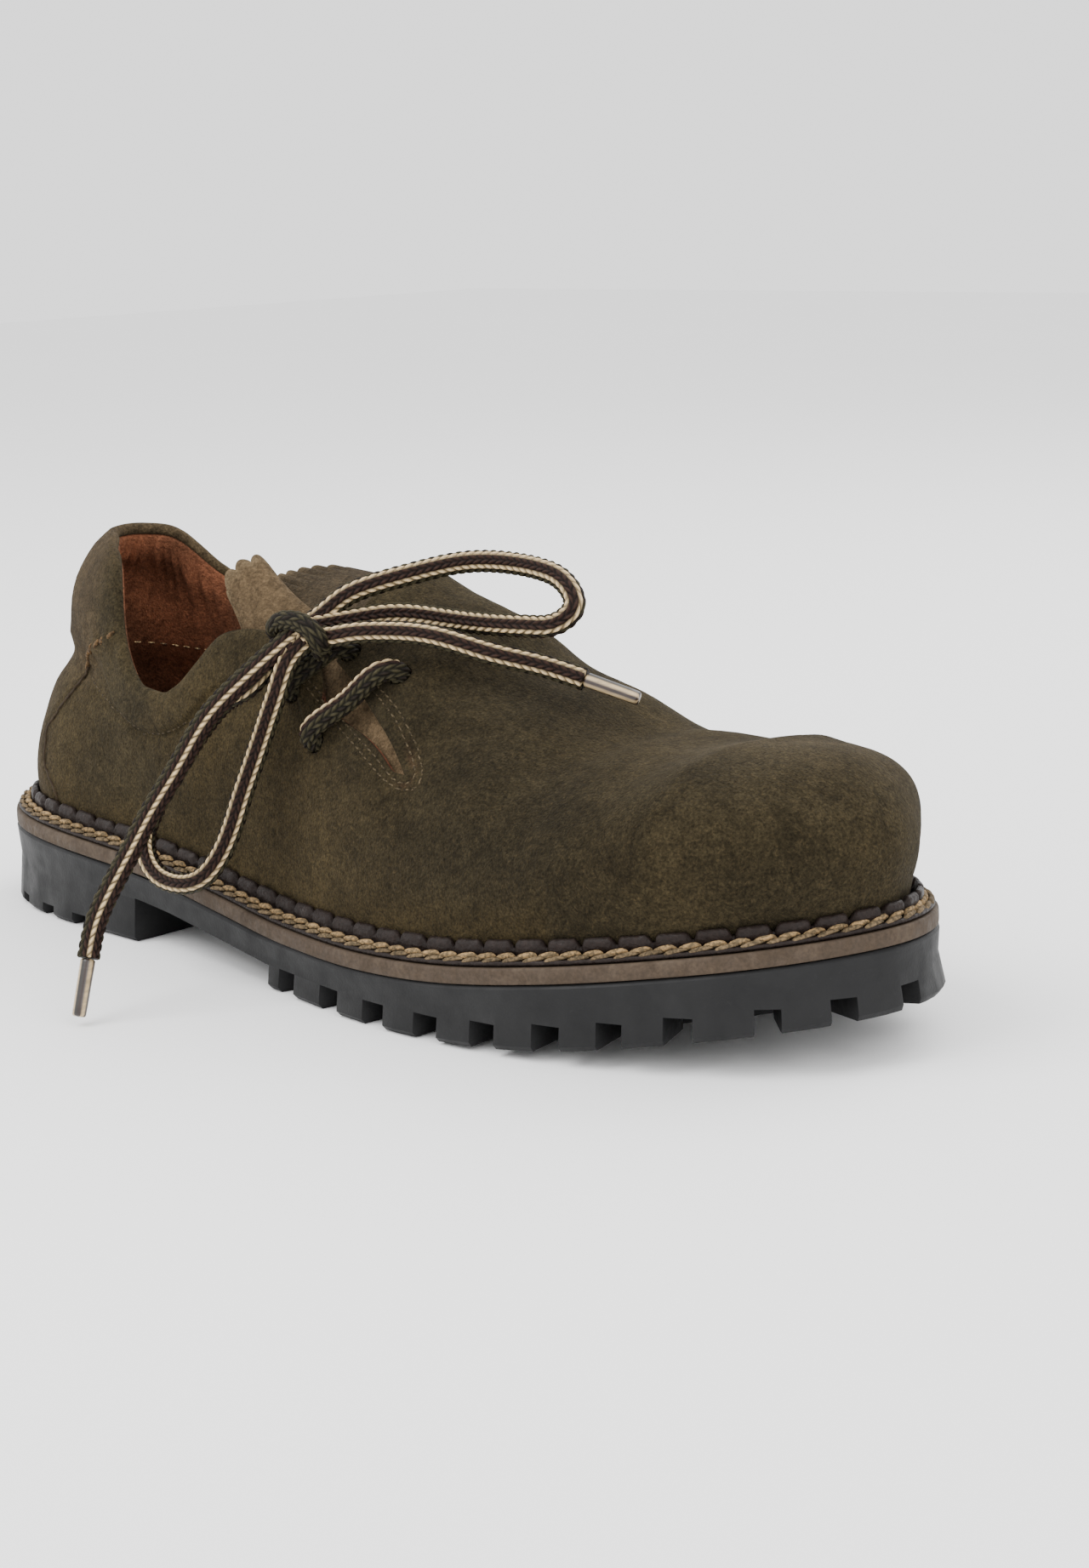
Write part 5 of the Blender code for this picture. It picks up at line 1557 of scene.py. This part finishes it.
@dataclass
class Sole:
    """Outsole, midsole band, storm welt with its two sewn rows, and insole."""

    last: Last
    lip_height: float = 4.5 * MM
    lip_thick: float = 1.8 * MM
    tile_pitch: float = 9.2 * MM
    notch: float = 2.7 * MM
    insole_thick: float = 3 * MM
    rubber_edge: float = 0.45 * MM
    thread_pitch: float = 5.8 * MM
    thread_length: float = 5.9 * MM

    def shares(self, half: int) -> Array:
        """Finds shares of the outline in pairs that lie at the same distance along the sole.

        Args:
            half: how many steps from heel to toe.

        Returns:
            The shares in order.
        """
        last = self.last
        x = last.length * (1 - np.cos(np.pi * np.arange(half + 1) / half)) / 2
        share = np.linspace(0, 1, 4801)
        p = last.outline(share)[0][:, 0]
        outer, inner = share <= last.tip, share >= last.tip
        s_out = np.interp(x[1:-1], p[outer], share[outer])
        s_in = np.interp(x[1:-1], p[inner][::-1], share[inner][::-1])
        return np.concatenate([[0], s_out, [last.tip], s_in[::-1]])

    def ring(self, shares: Array, inset: float, level: Callable[[Array], Array], rise: float = 0.0) -> Array:
        """Lays a ring inside the outline.

        Args:
            shares: shares of the outline.
            inset: how far inside it, in millimetres.
            level: a height over x.
            rise: how far above that height, in millimetres.

        Returns:
            The ring's points.
        """
        p, out = self.last.outline(shares)
        flat = p - out * (inset * MM)
        return np.column_stack([flat, level(flat[:, 0]) + rise * MM])

    def slab(self, name: str, rings: Sequence[Array], finish: SmoothLeather, node: str) -> None:
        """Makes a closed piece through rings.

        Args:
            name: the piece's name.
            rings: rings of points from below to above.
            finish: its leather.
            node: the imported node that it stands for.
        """
        columns, rows = len(rings[0]), len(rings)
        faces = [*ring_faces(columns, rows), *cap_faces(columns, 0)]
        faces += cap_faces(columns, columns * (rows - 1))
        piece = mesh_object(name, np.vstack(rings), faces, finish.build())
        turn_outwards(piece)
        piece.data.shade_smooth()
        declare(piece, node)

    def build_rubber(self) -> None:
        """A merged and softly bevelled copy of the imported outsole."""
        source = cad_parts["outsole"]
        mesh = source.data.copy()
        mesh.materials.clear()
        mesh.materials.append(Rubber().build())
        piece = bpy.data.objects.new("outsole_rubber", mesh)
        bpy.context.scene.collection.objects.link(piece)
        work = bmesh.new()
        work.from_mesh(mesh)
        bmesh.ops.remove_doubles(work, verts=work.verts, dist=1e-5)
        flat = math.radians(2)
        bmesh.ops.dissolve_limit(work, angle_limit=flat, verts=work.verts, edges=work.edges)
        work.to_mesh(mesh)
        work.free()
        step = piece.modifiers.new("soft_edges", "BEVEL")
        step.width, step.segments = self.rubber_edge, 2
        step.limit_method, step.angle_limit = "ANGLE", math.radians(38)
        apply_modifiers(piece)
        piece.select_set(True)
        bpy.context.view_layer.objects.active = piece
        bpy.ops.object.shade_smooth_by_angle(angle=math.radians(40))
        piece.select_set(False)
        declare(piece, "outsole")

    def build_band(self) -> None:
        """Builds the midsole's brown band with its rounded edges."""
        last, shares = self.last, self.shares(220)
        low = ((3.0, 0), (0.3, 0), (0.10, 0.10), (0.04, 0.5), (0.02, 1.6), (0.05, 2.7))
        high = ((0.10, -0.70), (0.25, -0.25), (0.6, -0.02), (3.0, 0))
        rings = [self.ring(shares, inset, last.rubber_seat, rise) for inset, rise in low]
        rings += [self.ring(shares, inset, last.midsole_top, rise) for inset, rise in high]
        finish = SmoothLeather("band_leather", shown(98, 80, 62), shown(126, 108, 88), 0.7, 700, 0.0001)
        self.slab("midsole_band", rings, finish, "midsole")

    def build_insole(self) -> None:
        """Builds the insole, soft at its rim."""
        last, shares = self.last, self.shares(60)
        inset, top = last.upper_inset / MM + 3.2, self.insole_thick / MM
        rim = ((0, 0), (0, top - 0.8), (0.3, top - 0.2), (1, top))
        rings = [self.ring(shares, inset + further, last.feather, rise) for further, rise in rim]
        finish = SmoothLeather("insole_leather", shown(96, 62, 44), shown(128, 90, 66), 0.75)
        self.slab("insole_leather", rings, finish, "insole")

    def build_welt(self) -> None:
        """Builds the storm welt: a flat strip and a lip of pillowed tiles against the upper."""
        last = self.last
        count, parts = int(round(last.round / self.tile_pitch)), 14
        shares = (np.arange(count * parts) + 0.5) / (count * parts)
        tile, place = np.divmod(shares * count + 0.5, 1)
        side = np.abs(place - 0.5) * 2
        odd = np.array([[noise.noise(Vector((t * 3.17, k * 7.7, 1.1))) for k in range(3)]
                        for t in range(count + 1)])
        odd = odd[np.mod(tile.astype(int), count + 1)]
        notch = np.clip(1 - (1 - side) / 0.26, 0, 1)
        lip = self.lip_height + 0.5 * MM * odd[:, 0] * (1 - notch) - self.notch * notch
        lip = lip + 0.25 * MM * odd[:, 2] * (place - 0.5)
        thick = self.lip_thick * (1.05 - 0.5 * notch) + 0.3 * MM * odd[:, 1]
        edge = last.frame(shares)[0][:, 0]
        foot = last.welt_top(edge) - last.feather(edge)

        def beside(rise: Array, out: Array | float) -> Array:
            """Points beside the upper at a rise above the feather edge."""
            return last.point(shares, last.climb_at(shares, rise), 2 * GAP + out)

        # the strip's under side and edge, then its top with the two furrows of the stitches, then the lip
        under = ((1.4, 0), (0.95, 0.15))
        top = ((0.9, -0.35), (1.25, 0), (1.7, -0.075), (2.2, -0.25), (2.75, -0.1), (3.1, -0.125),
               (3.6, -0.25), (4.1, -0.075))
        lips = ((0, 1.02), (0.35, 1.08), (0.72, 1.0), (0.93, 0.72), (1, 0.36), (0.96, 0), (0.5, 0))
        rings = [beside(0 * foot, 0)]
        rings += [self.ring(shares, inset, last.feather, rise) for inset, rise in under]
        rings += [self.ring(shares, inset, last.welt_top, rise) for inset, rise in top]
        corner = len(rings)
        rings += [beside(foot + lip * up, thick * out) for up, out in lips]
        rings[0][:, 2] = rings[1][:, 2]
        rings[corner][:, 2] = last.welt_top(rings[corner][:, 0]) - 0.05 * MM
        columns, rows = len(shares), len(rings)
        faces = ring_faces(columns, rows)
        faces += [((rows - 1) * columns + c, (rows - 1) * columns + (c + 1) % columns, (c + 1) % columns, c)
                  for c in range(columns)]
        piece = mesh_object("storm_welt", np.vstack(rings), faces, WeltLeather().build())
        turn_outwards(piece)
        declare(piece, "welt")

    def build_welt_stitches(self) -> None:
        """Lays the two rows of thick tan stitches along the welt."""
        last, outward_lean = self.last, 0.25
        count = int(round(last.round / self.thread_pitch))
        for name, start, inset, lift, colour, dark, slant, width, height in (
            ("welt_stitches_inner", 0.5, 3.35, 0.75, (188, 170, 134), (142, 124, 92), 0.16, 1.8, 1.6),
            ("welt_stitches_outer", 0.0, 1.75, 0.25, (158, 140, 106), (108, 92, 66), 0.14, 1.4, 1.2),
        ):
            p, out = last.outline((np.arange(count) + start) / count)
            flat = p - out * inset * MM
            x = flat[:, 0]
            slope = (last.welt_top(x + MM) - last.welt_top(x - MM)) / (2 * MM)
            centres = np.column_stack([flat, last.welt_top(x) + lift * MM])
            upright, outward = [-slope, 0 * slope, np.ones(count)], [out, 0 * slope]
            ups = unit(np.column_stack(upright) + outward_lean * np.column_stack(outward))
            thread = Thread(name + "_thread", shown(*colour), shown(*dark), 1300)
            row = Stitches(name, thread, length=self.thread_length, width=width * MM, height=height * MM,
                           slant=slant, rings=9, sides=8, rear=0.10)
            row.lay([(centres, ups)], "welt")


class Strand(Enum):
    """The yarns of the lace."""

    CREAM = shown(212, 205, 184)
    BROWN = shown(74, 47, 36)
    OLIVE = shown(92, 84, 56)
    DARK = shown(48, 38, 28)


@dataclass
class Lace:
    """The round braided lace: two bars over the opening, the knot, two loops, two ends and their aglets."""

    last: Last
    upper: Upper
    width: float = 5.2 * MM
    bead: float = 2.3 * MM
    wales: int = 12
    around: int = 72
    hollow: float = 0.81
    crown: float = 0.27
    shadow: float = 0.10
    knot: tuple[float, ...] = (145, -33, 91.3)
    knot_width: float = 4.8 * MM
    knot_taper: float = 0.6
    aglet_length: float = 14 * MM
    aglet_width: float = 3.6 * MM
    aglet_sides: int = 20
    pattern: str = "CBBCMBMOMBMO"
    single: str = "OBCBBMOMBMOM"
    edged: str = "BCBBMMOOMOMO"
    mottled: str = "OMMOMMOMOMMO"

    outer: tuple[float, ...] = (0.60, -0.74, 0.30)
    bar_face: tuple[float, ...] = (-0.40, -0.30, 0.80)
    knot_face: tuple[float, ...] = (0.5, -0.6, 0.6)
    knot_axes: tuple[tuple[float, ...], ...] = (
        (0.717, 0.697, 0), (-0.141, 0.145, 0.979), (0.682, -0.702, 0.207),
    )
    yarn: bpy.types.Material | None = None

    # the strand wound over the knot and the one under it: along, above and in front of the knot's middle
    wound = (
        (-3.8, -5.0, 2.0), (-5.6, -3.2, 4.4), (-4.2, -1.6, 7.4), (-1.4, -1.4, 10.0), (1.5, -2.3, 12.0),
        (3.8, -4.2, 13.2), (5.3, -6.4, 12.4), (5.8, -8.3, 9.0), (5.2, -9.6, 5.0),
    )
    under = ((-6.0, -3.4, 1.5), (-2.0, -2.0, 4.0), (2.5, -2.2, 5.5), (6.0, -3.8, 4.5), (6.4, -7.5, 2.0))
    # the free cords from the knot outwards, in millimetres on the last's frame
    loop_rear = (
        (147.6, -37.1, 88.2), (143.5, -40.9, 81.7), (138.6, -45.4, 74.9), (129.5, -45, 70.5),
        (121.5, -47.5, 62), (113, -49, 51.5), (106, -51, 41), (104, -53, 33), (108, -55, 28),
        (119, -56.5, 25), (130, -55.5, 28), (135, -52, 36.5),
        (138, -49, 47.5), (141, -46.5, 57.5), (145, -45, 67.5), (149, -44.5, 76), (150.5, -41.8, 82.8),
        (152.9, -38.4, 86.9),
    )
    loop_front = (
        (150.8, -36.8, 89.5), (152.8, -32.5, 92.4), (155.6, -27.4, 96.4), (160, -22.5, 99),
        (167, -15, 101.5), (177, -8, 104), (190, -5, 104.5), (202, -5, 103.5),
        (211, -6.5, 100.5), (214.5, -8.5, 96), (211.5, -10.5, 92.5), (204, -12.5, 91.2), (192, -14.5, 91),
        (177.5, -16.5, 91.5), (166, -21, 92.2), (158, -28, 91), (152.1, -36.7, 89.9),
    )
    end_rear = (
        (151.1, -38.2, 89.3), (148, -43.6, 84.9), (142.7, -49.5, 78.3), (135.5, -57, 68), (132, -63, 57.5),
        (129.5, -70, 47.5),
        (129, -77, 38.5), (129, -84, 30), (128.5, -88.5, 22.5), (129.5, -92, 15),
    )
    end_front = (
        (152.7, -38.6, 88.6), (156.5, -36.5, 87.8), (163, -33.6, 88.8), (171, -28.7, 89.3), (184, -24, 88.5),
        (196, -18.5, 85),
        (207, -12, 82), (217, -8, 79),
    )

    def braid(self, name: str, route: Array, face: Sequence[float], pattern: str = "", width: float = 0.0,
              taper: float = 0.0) -> bpy.types.Object:
        """Braids a tube along a route.

        Args:
            name: the piece's name.
            route: points in the last's frame.
            face: the direction that the second and third wale look towards.
            pattern: each wale's yarn: C cream, B brown, O olive, M olive and dark by turns.
            width: the cord's width, or the lace's own where it is 0.
            taper: how far the ends are drawn in, as a share.

        Returns:
            The piece.
        """
        width, pattern = width or self.width, pattern or self.pattern
        line = evenly(np.asarray(route), 0.3 * MM)
        ahead = unit(np.gradient(line, axis=0))
        aim = np.asarray(face, float)
        up = unit(aim - ahead * (ahead @ aim)[:, None])
        side = np.cross(up, ahead)
        run = np.concatenate([[0], np.cumsum(np.linalg.norm(np.diff(line, axis=0), axis=1))])
        turn = (np.arange(self.around) + 0.5) / self.around
        wale = np.floor(turn * self.wales).astype(int)
        across = turn * self.wales - wale - 0.5
        slant = np.where(wale % 2 == 0, 1.0, -1.0)
        phase = run[:, None] / self.bead + 0.75 * slant * across + 0.5 * (wale % 2)
        number = np.floor(phase)
        place = phase - number - 0.5
        height = (1 - np.clip(np.abs(2 * place), 0, 1) ** 2.6) * (1 - 0.8 * np.abs(2 * across) ** 2.2)
        radius = width / 2 * (self.hollow + self.crown * height)
        end = np.minimum(run, run[-1] - run) / (0.5 * width)
        drawn = 1 - taper * (1 - np.sqrt(np.clip(1 - (1 - end) ** 2, 0, 1)))
        radius = radius * np.where(end < 1, drawn, 1)[:, None]
        angle = (turn - 2.0 / self.wales) * 2 * math.pi
        points = (line[:, None] + up[:, None] * (np.cos(angle) * radius)[..., None]
                  + side[:, None] * (np.sin(angle) * radius)[..., None])
        rows = len(line)
        faces = [*ring_faces(self.around, rows), *fan_faces(self.around, rows)]
        flat = np.vstack([points.reshape(-1, 3), line[:1], line[-1:]])
        swatch = {"C": Strand.CREAM, "B": Strand.BROWN, "O": Strand.OLIVE}
        colour = np.empty((rows, self.around, 3))
        for k in range(self.around):
            letter = pattern[wale[k]]
            if letter == "M":
                even = (number[:, k] % 2 == 0)[:, None]
                colour[:, k] = np.where(even, Strand.OLIVE.value, Strand.DARK.value)
            else:
                colour[:, k] = swatch[letter].value
        colour *= (self.shadow + (1 - self.shadow) * height**1.6)[..., None]
        shade = np.vstack([colour.reshape(-1, 3), np.tile(Strand.DARK.value, (2, 1))])
        piece = mesh_object(name, flat, faces, self.yarn)
        paint(piece, shade)
        return piece

    def build(self) -> None:
        self.yarn = Braid().build()
        self.build_bars()
        cords = {}
        for name, rows in (("lace_loop_rear", self.loop_rear), ("lace_loop_front", self.loop_front)):
            route = evenly(np.array(rows) * MM, 1 * MM)
            cords[name] = (self.braid(name + "_braid", route, self.outer), route, [])
        for name, rows in (("lace_end_rear", self.end_rear), ("lace_end_front", self.end_front)):
            route = evenly(np.array(rows) * MM, 1 * MM)
            tip = self.aglet(name.replace("lace_end", "aglet"), route)
            pattern = self.single if name == "lace_end_rear" else self.pattern
            cords[name] = (self.braid(name + "_braid", route, self.outer, pattern), route, [tip])
        knot = self.build_knot()
        for name, (piece, route, tips) in cords.items():
            declare(piece, name)

    def build_bars(self) -> None:
        """Builds the two crossings that rise out of one hole and drop into the other."""
        holes = self.upper.holes()
        wall, above = self.upper.wall, 0.9 * MM
        lift, turn = self.width / 2 + above, 0.32 * self.width
        for k, (name, pattern) in enumerate((("lace_bar", self.edged), ("lace_bar_top", self.mottled))):
            (a, na), (b, nb) = holes[2 * k], holes[2 * k + 1]
            over = unit(b - a)
            rise, drop = (
                [p - n * (wall - 0.2 * MM), p - n * 0.4 * wall, p + n * above, p + n * lift + way * turn]
                for p, n, way in ((a, na, over), (b, nb, -over))
            )
            middle = mix(a, b, 0.5) + (na + nb) / 2 * (lift + above)
            route = np.array([*rise, middle, *drop[::-1]])
            declare(self.braid(name + "_braid", route, self.bar_face, pattern), name)

    def build_knot(self) -> bpy.types.Object:
        """Builds the bow's knot: one strand wound over the cords, which run on into it, and one under them.

        Returns:
            The joined piece.
        """
        axes = np.array(self.knot_axes)
        parts = []
        strands = (("knot_wound", self.wound, self.mottled), ("knot_under", self.under, self.edged))
        for name, rows, pattern in strands:
            route = (np.array(self.knot) + np.array(rows, float) @ axes) * MM
            parts.append(self.braid(name, route, self.knot_face, pattern, self.knot_width, self.knot_taper))
        bpy.ops.object.select_all(action="DESELECT")
        for part in parts:
            part.select_set(True)
        bpy.context.view_layer.objects.active = parts[0]
        bpy.ops.object.join()
        knot = bpy.context.view_layer.objects.active
        knot.name = knot.data.name = "lace_knot_braid"
        knot.select_set(False)
        declare(knot, "lace_knot")
        return knot

    def aglet(self, name: str, route: Array) -> bpy.types.Object:
        """Makes the film tip at a lace end, pinched round the braid.

        Args:
            name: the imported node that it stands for.
            route: the lace's route, which ends where the tip starts.

        Returns:
            The piece.
        """
        ahead = unit(route[-1] - route[-2])
        start = route[-1] + ahead * 0.3 * MM
        side = unit(np.cross(ahead, (0, 0, 1)))
        up = np.cross(side, ahead)
        profile = (
            (0, 0.80), (0.02, 0.98), (0.06, 1.0), (0.4, 0.97), (0.8, 0.95), (0.96, 0.92), (0.99, 0.80),
            (1, 0.3),
        )
        sides, half = self.aglet_sides, self.aglet_width / 2
        turn = np.arange(sides) * 2 * math.pi / sides
        crimp = half * (1 + 0.06 * np.cos(3 * turn))
        wall = (np.cos(turn) * crimp)[:, None] * side + (np.sin(turn) * crimp)[:, None] * up
        rings = [start + ahead * s * self.aglet_length + wall * r for s, r in profile]
        count = sides * len(rings)
        faces = [*ring_faces(sides, len(rings)), tuple(range(sides)), tuple(range(count - sides, count))]
        piece = mesh_object(name + "_film", np.vstack(rings), faces, TipPlastic().build())
        yarns = np.array([Strand.BROWN.value, Strand.CREAM.value, Strand.DARK.value])
        paint(piece, np.tile(yarns[np.arange(sides) // 2 % 5 % 3] * 0.75, (len(rings), 1)))
        turn_outwards(piece)
        declare(piece, name)
        return piece


@dataclass
class Studio:
    """Floor, soft lights and the camera of the photograph.

    Angles are in degrees and lengths in millimetres; the focal length is in the photo's own pixels.
    """

    turn: float = 44.16
    tilt: float = 11.94
    roll: float = -1.89
    away: float = 747
    aim: tuple[float, ...] = (150, 0, 45)
    across: float = 32.15
    above: float = -1.85
    focal: float = 3436.0
    photo: tuple[int, int] = (1280, 1843)
    film: float = 36.0

    def build(self) -> None:
        """Places everything."""
        self.camera()
        self.floor()
        world = bpy.data.worlds.new("studio_air")
        world.use_nodes = True
        back = world.node_tree.nodes["Background"]
        back.inputs["Color"].default_value = (1, 1, 1, 1)
        back.inputs["Strength"].default_value = 1.7
        bpy.context.scene.world = world
        self.light("key", (-0.35, -0.75, 1.15), 16, 0.9)
        self.light("front", (1.15, -0.35, 0.75), 7, 0.8)
        self.light("back", (0.1, 0.9, 0.9), 8, 0.8)
        LOG.info("studio: camera, floor and lights")

    def camera(self) -> None:
        """The camera at the photograph's place."""
        a, e, ro = (math.radians(v) for v in (self.turn, self.tilt, self.roll))
        right = np.array([math.cos(a), math.sin(a), 0])
        ahead = np.array([-math.sin(a) * math.cos(e), math.cos(a) * math.cos(e), -math.sin(e)])
        up = np.cross(right, ahead)
        place = np.array(self.aim) + right * self.across + up * self.above - ahead * self.away
        turned = right * math.cos(ro) + up * math.sin(ro), -right * math.sin(ro) + up * math.cos(ro)
        data = bpy.data.cameras.new("photo_view")
        wide, high = self.photo
        data.sensor_fit = "VERTICAL"
        data.sensor_height, data.sensor_width = self.film, self.film * wide / high
        data.lens = self.film * self.focal / high
        data.clip_start, data.clip_end = 0.01, 20
        view = bpy.data.objects.new("photo_view", data)
        bpy.context.scene.collection.objects.link(view)
        spot = place * MM + SHIFT
        columns = [*turned, -ahead]
        rows = [[float(c[i]) for c in columns] + [float(spot[i])] for i in range(3)]
        view.matrix_world = Matrix([*rows, [0, 0, 0, 1]])
        bpy.context.scene.camera = view

    def floor(self) -> None:
        """A plain pale floor."""
        bpy.ops.object.select_all(action="DESELECT")
        bpy.ops.mesh.primitive_plane_add(size=6, location=(0, 0, -0.0002))
        floor = bpy.context.active_object
        floor.name = "studio_floor"
        bpy.ops.object.transform_apply(location=True)
        floor.data.materials.append(PaleFloor().build())

    def light(self, name: str, place: tuple[float, float, float], power: float, size: float) -> None:
        """Adds a soft square light that looks at the shoe.

        Args:
            name: the light's name.
            place: where it hangs, in metres.
            power: its power in watts.
            size: its side in metres.
        """
        data = bpy.data.lights.new(name, "AREA")
        data.energy, data.size = power, size
        lamp = bpy.data.objects.new(name, data)
        bpy.context.scene.collection.objects.link(lamp)
        lamp.location = place
        lamp.rotation_euler = (Vector((0, 0, 0.04)) - Vector(place)).to_track_quat("-Z", "Y").to_euler()


def main() -> None:
    """Builds the shoe's pieces in order."""
    logging.basicConfig(level=logging.INFO, format="%(name)s %(message)s")
    noise.seed_set(11)
    last = Last()
    Studio().build()
    upper = Upper(last)
    lace = Lace(last, upper)
    lace.build()
    upper.build_cover()
    upper.build_lining()
    Sewing(last, upper).build()
    Tongue(last).build()
    sole = Sole(last)
    sole.build_rubber()
    sole.build_band()
    sole.build_welt()
    sole.build_welt_stitches()
    sole.build_insole()


if __name__ == "__main__":
    main()
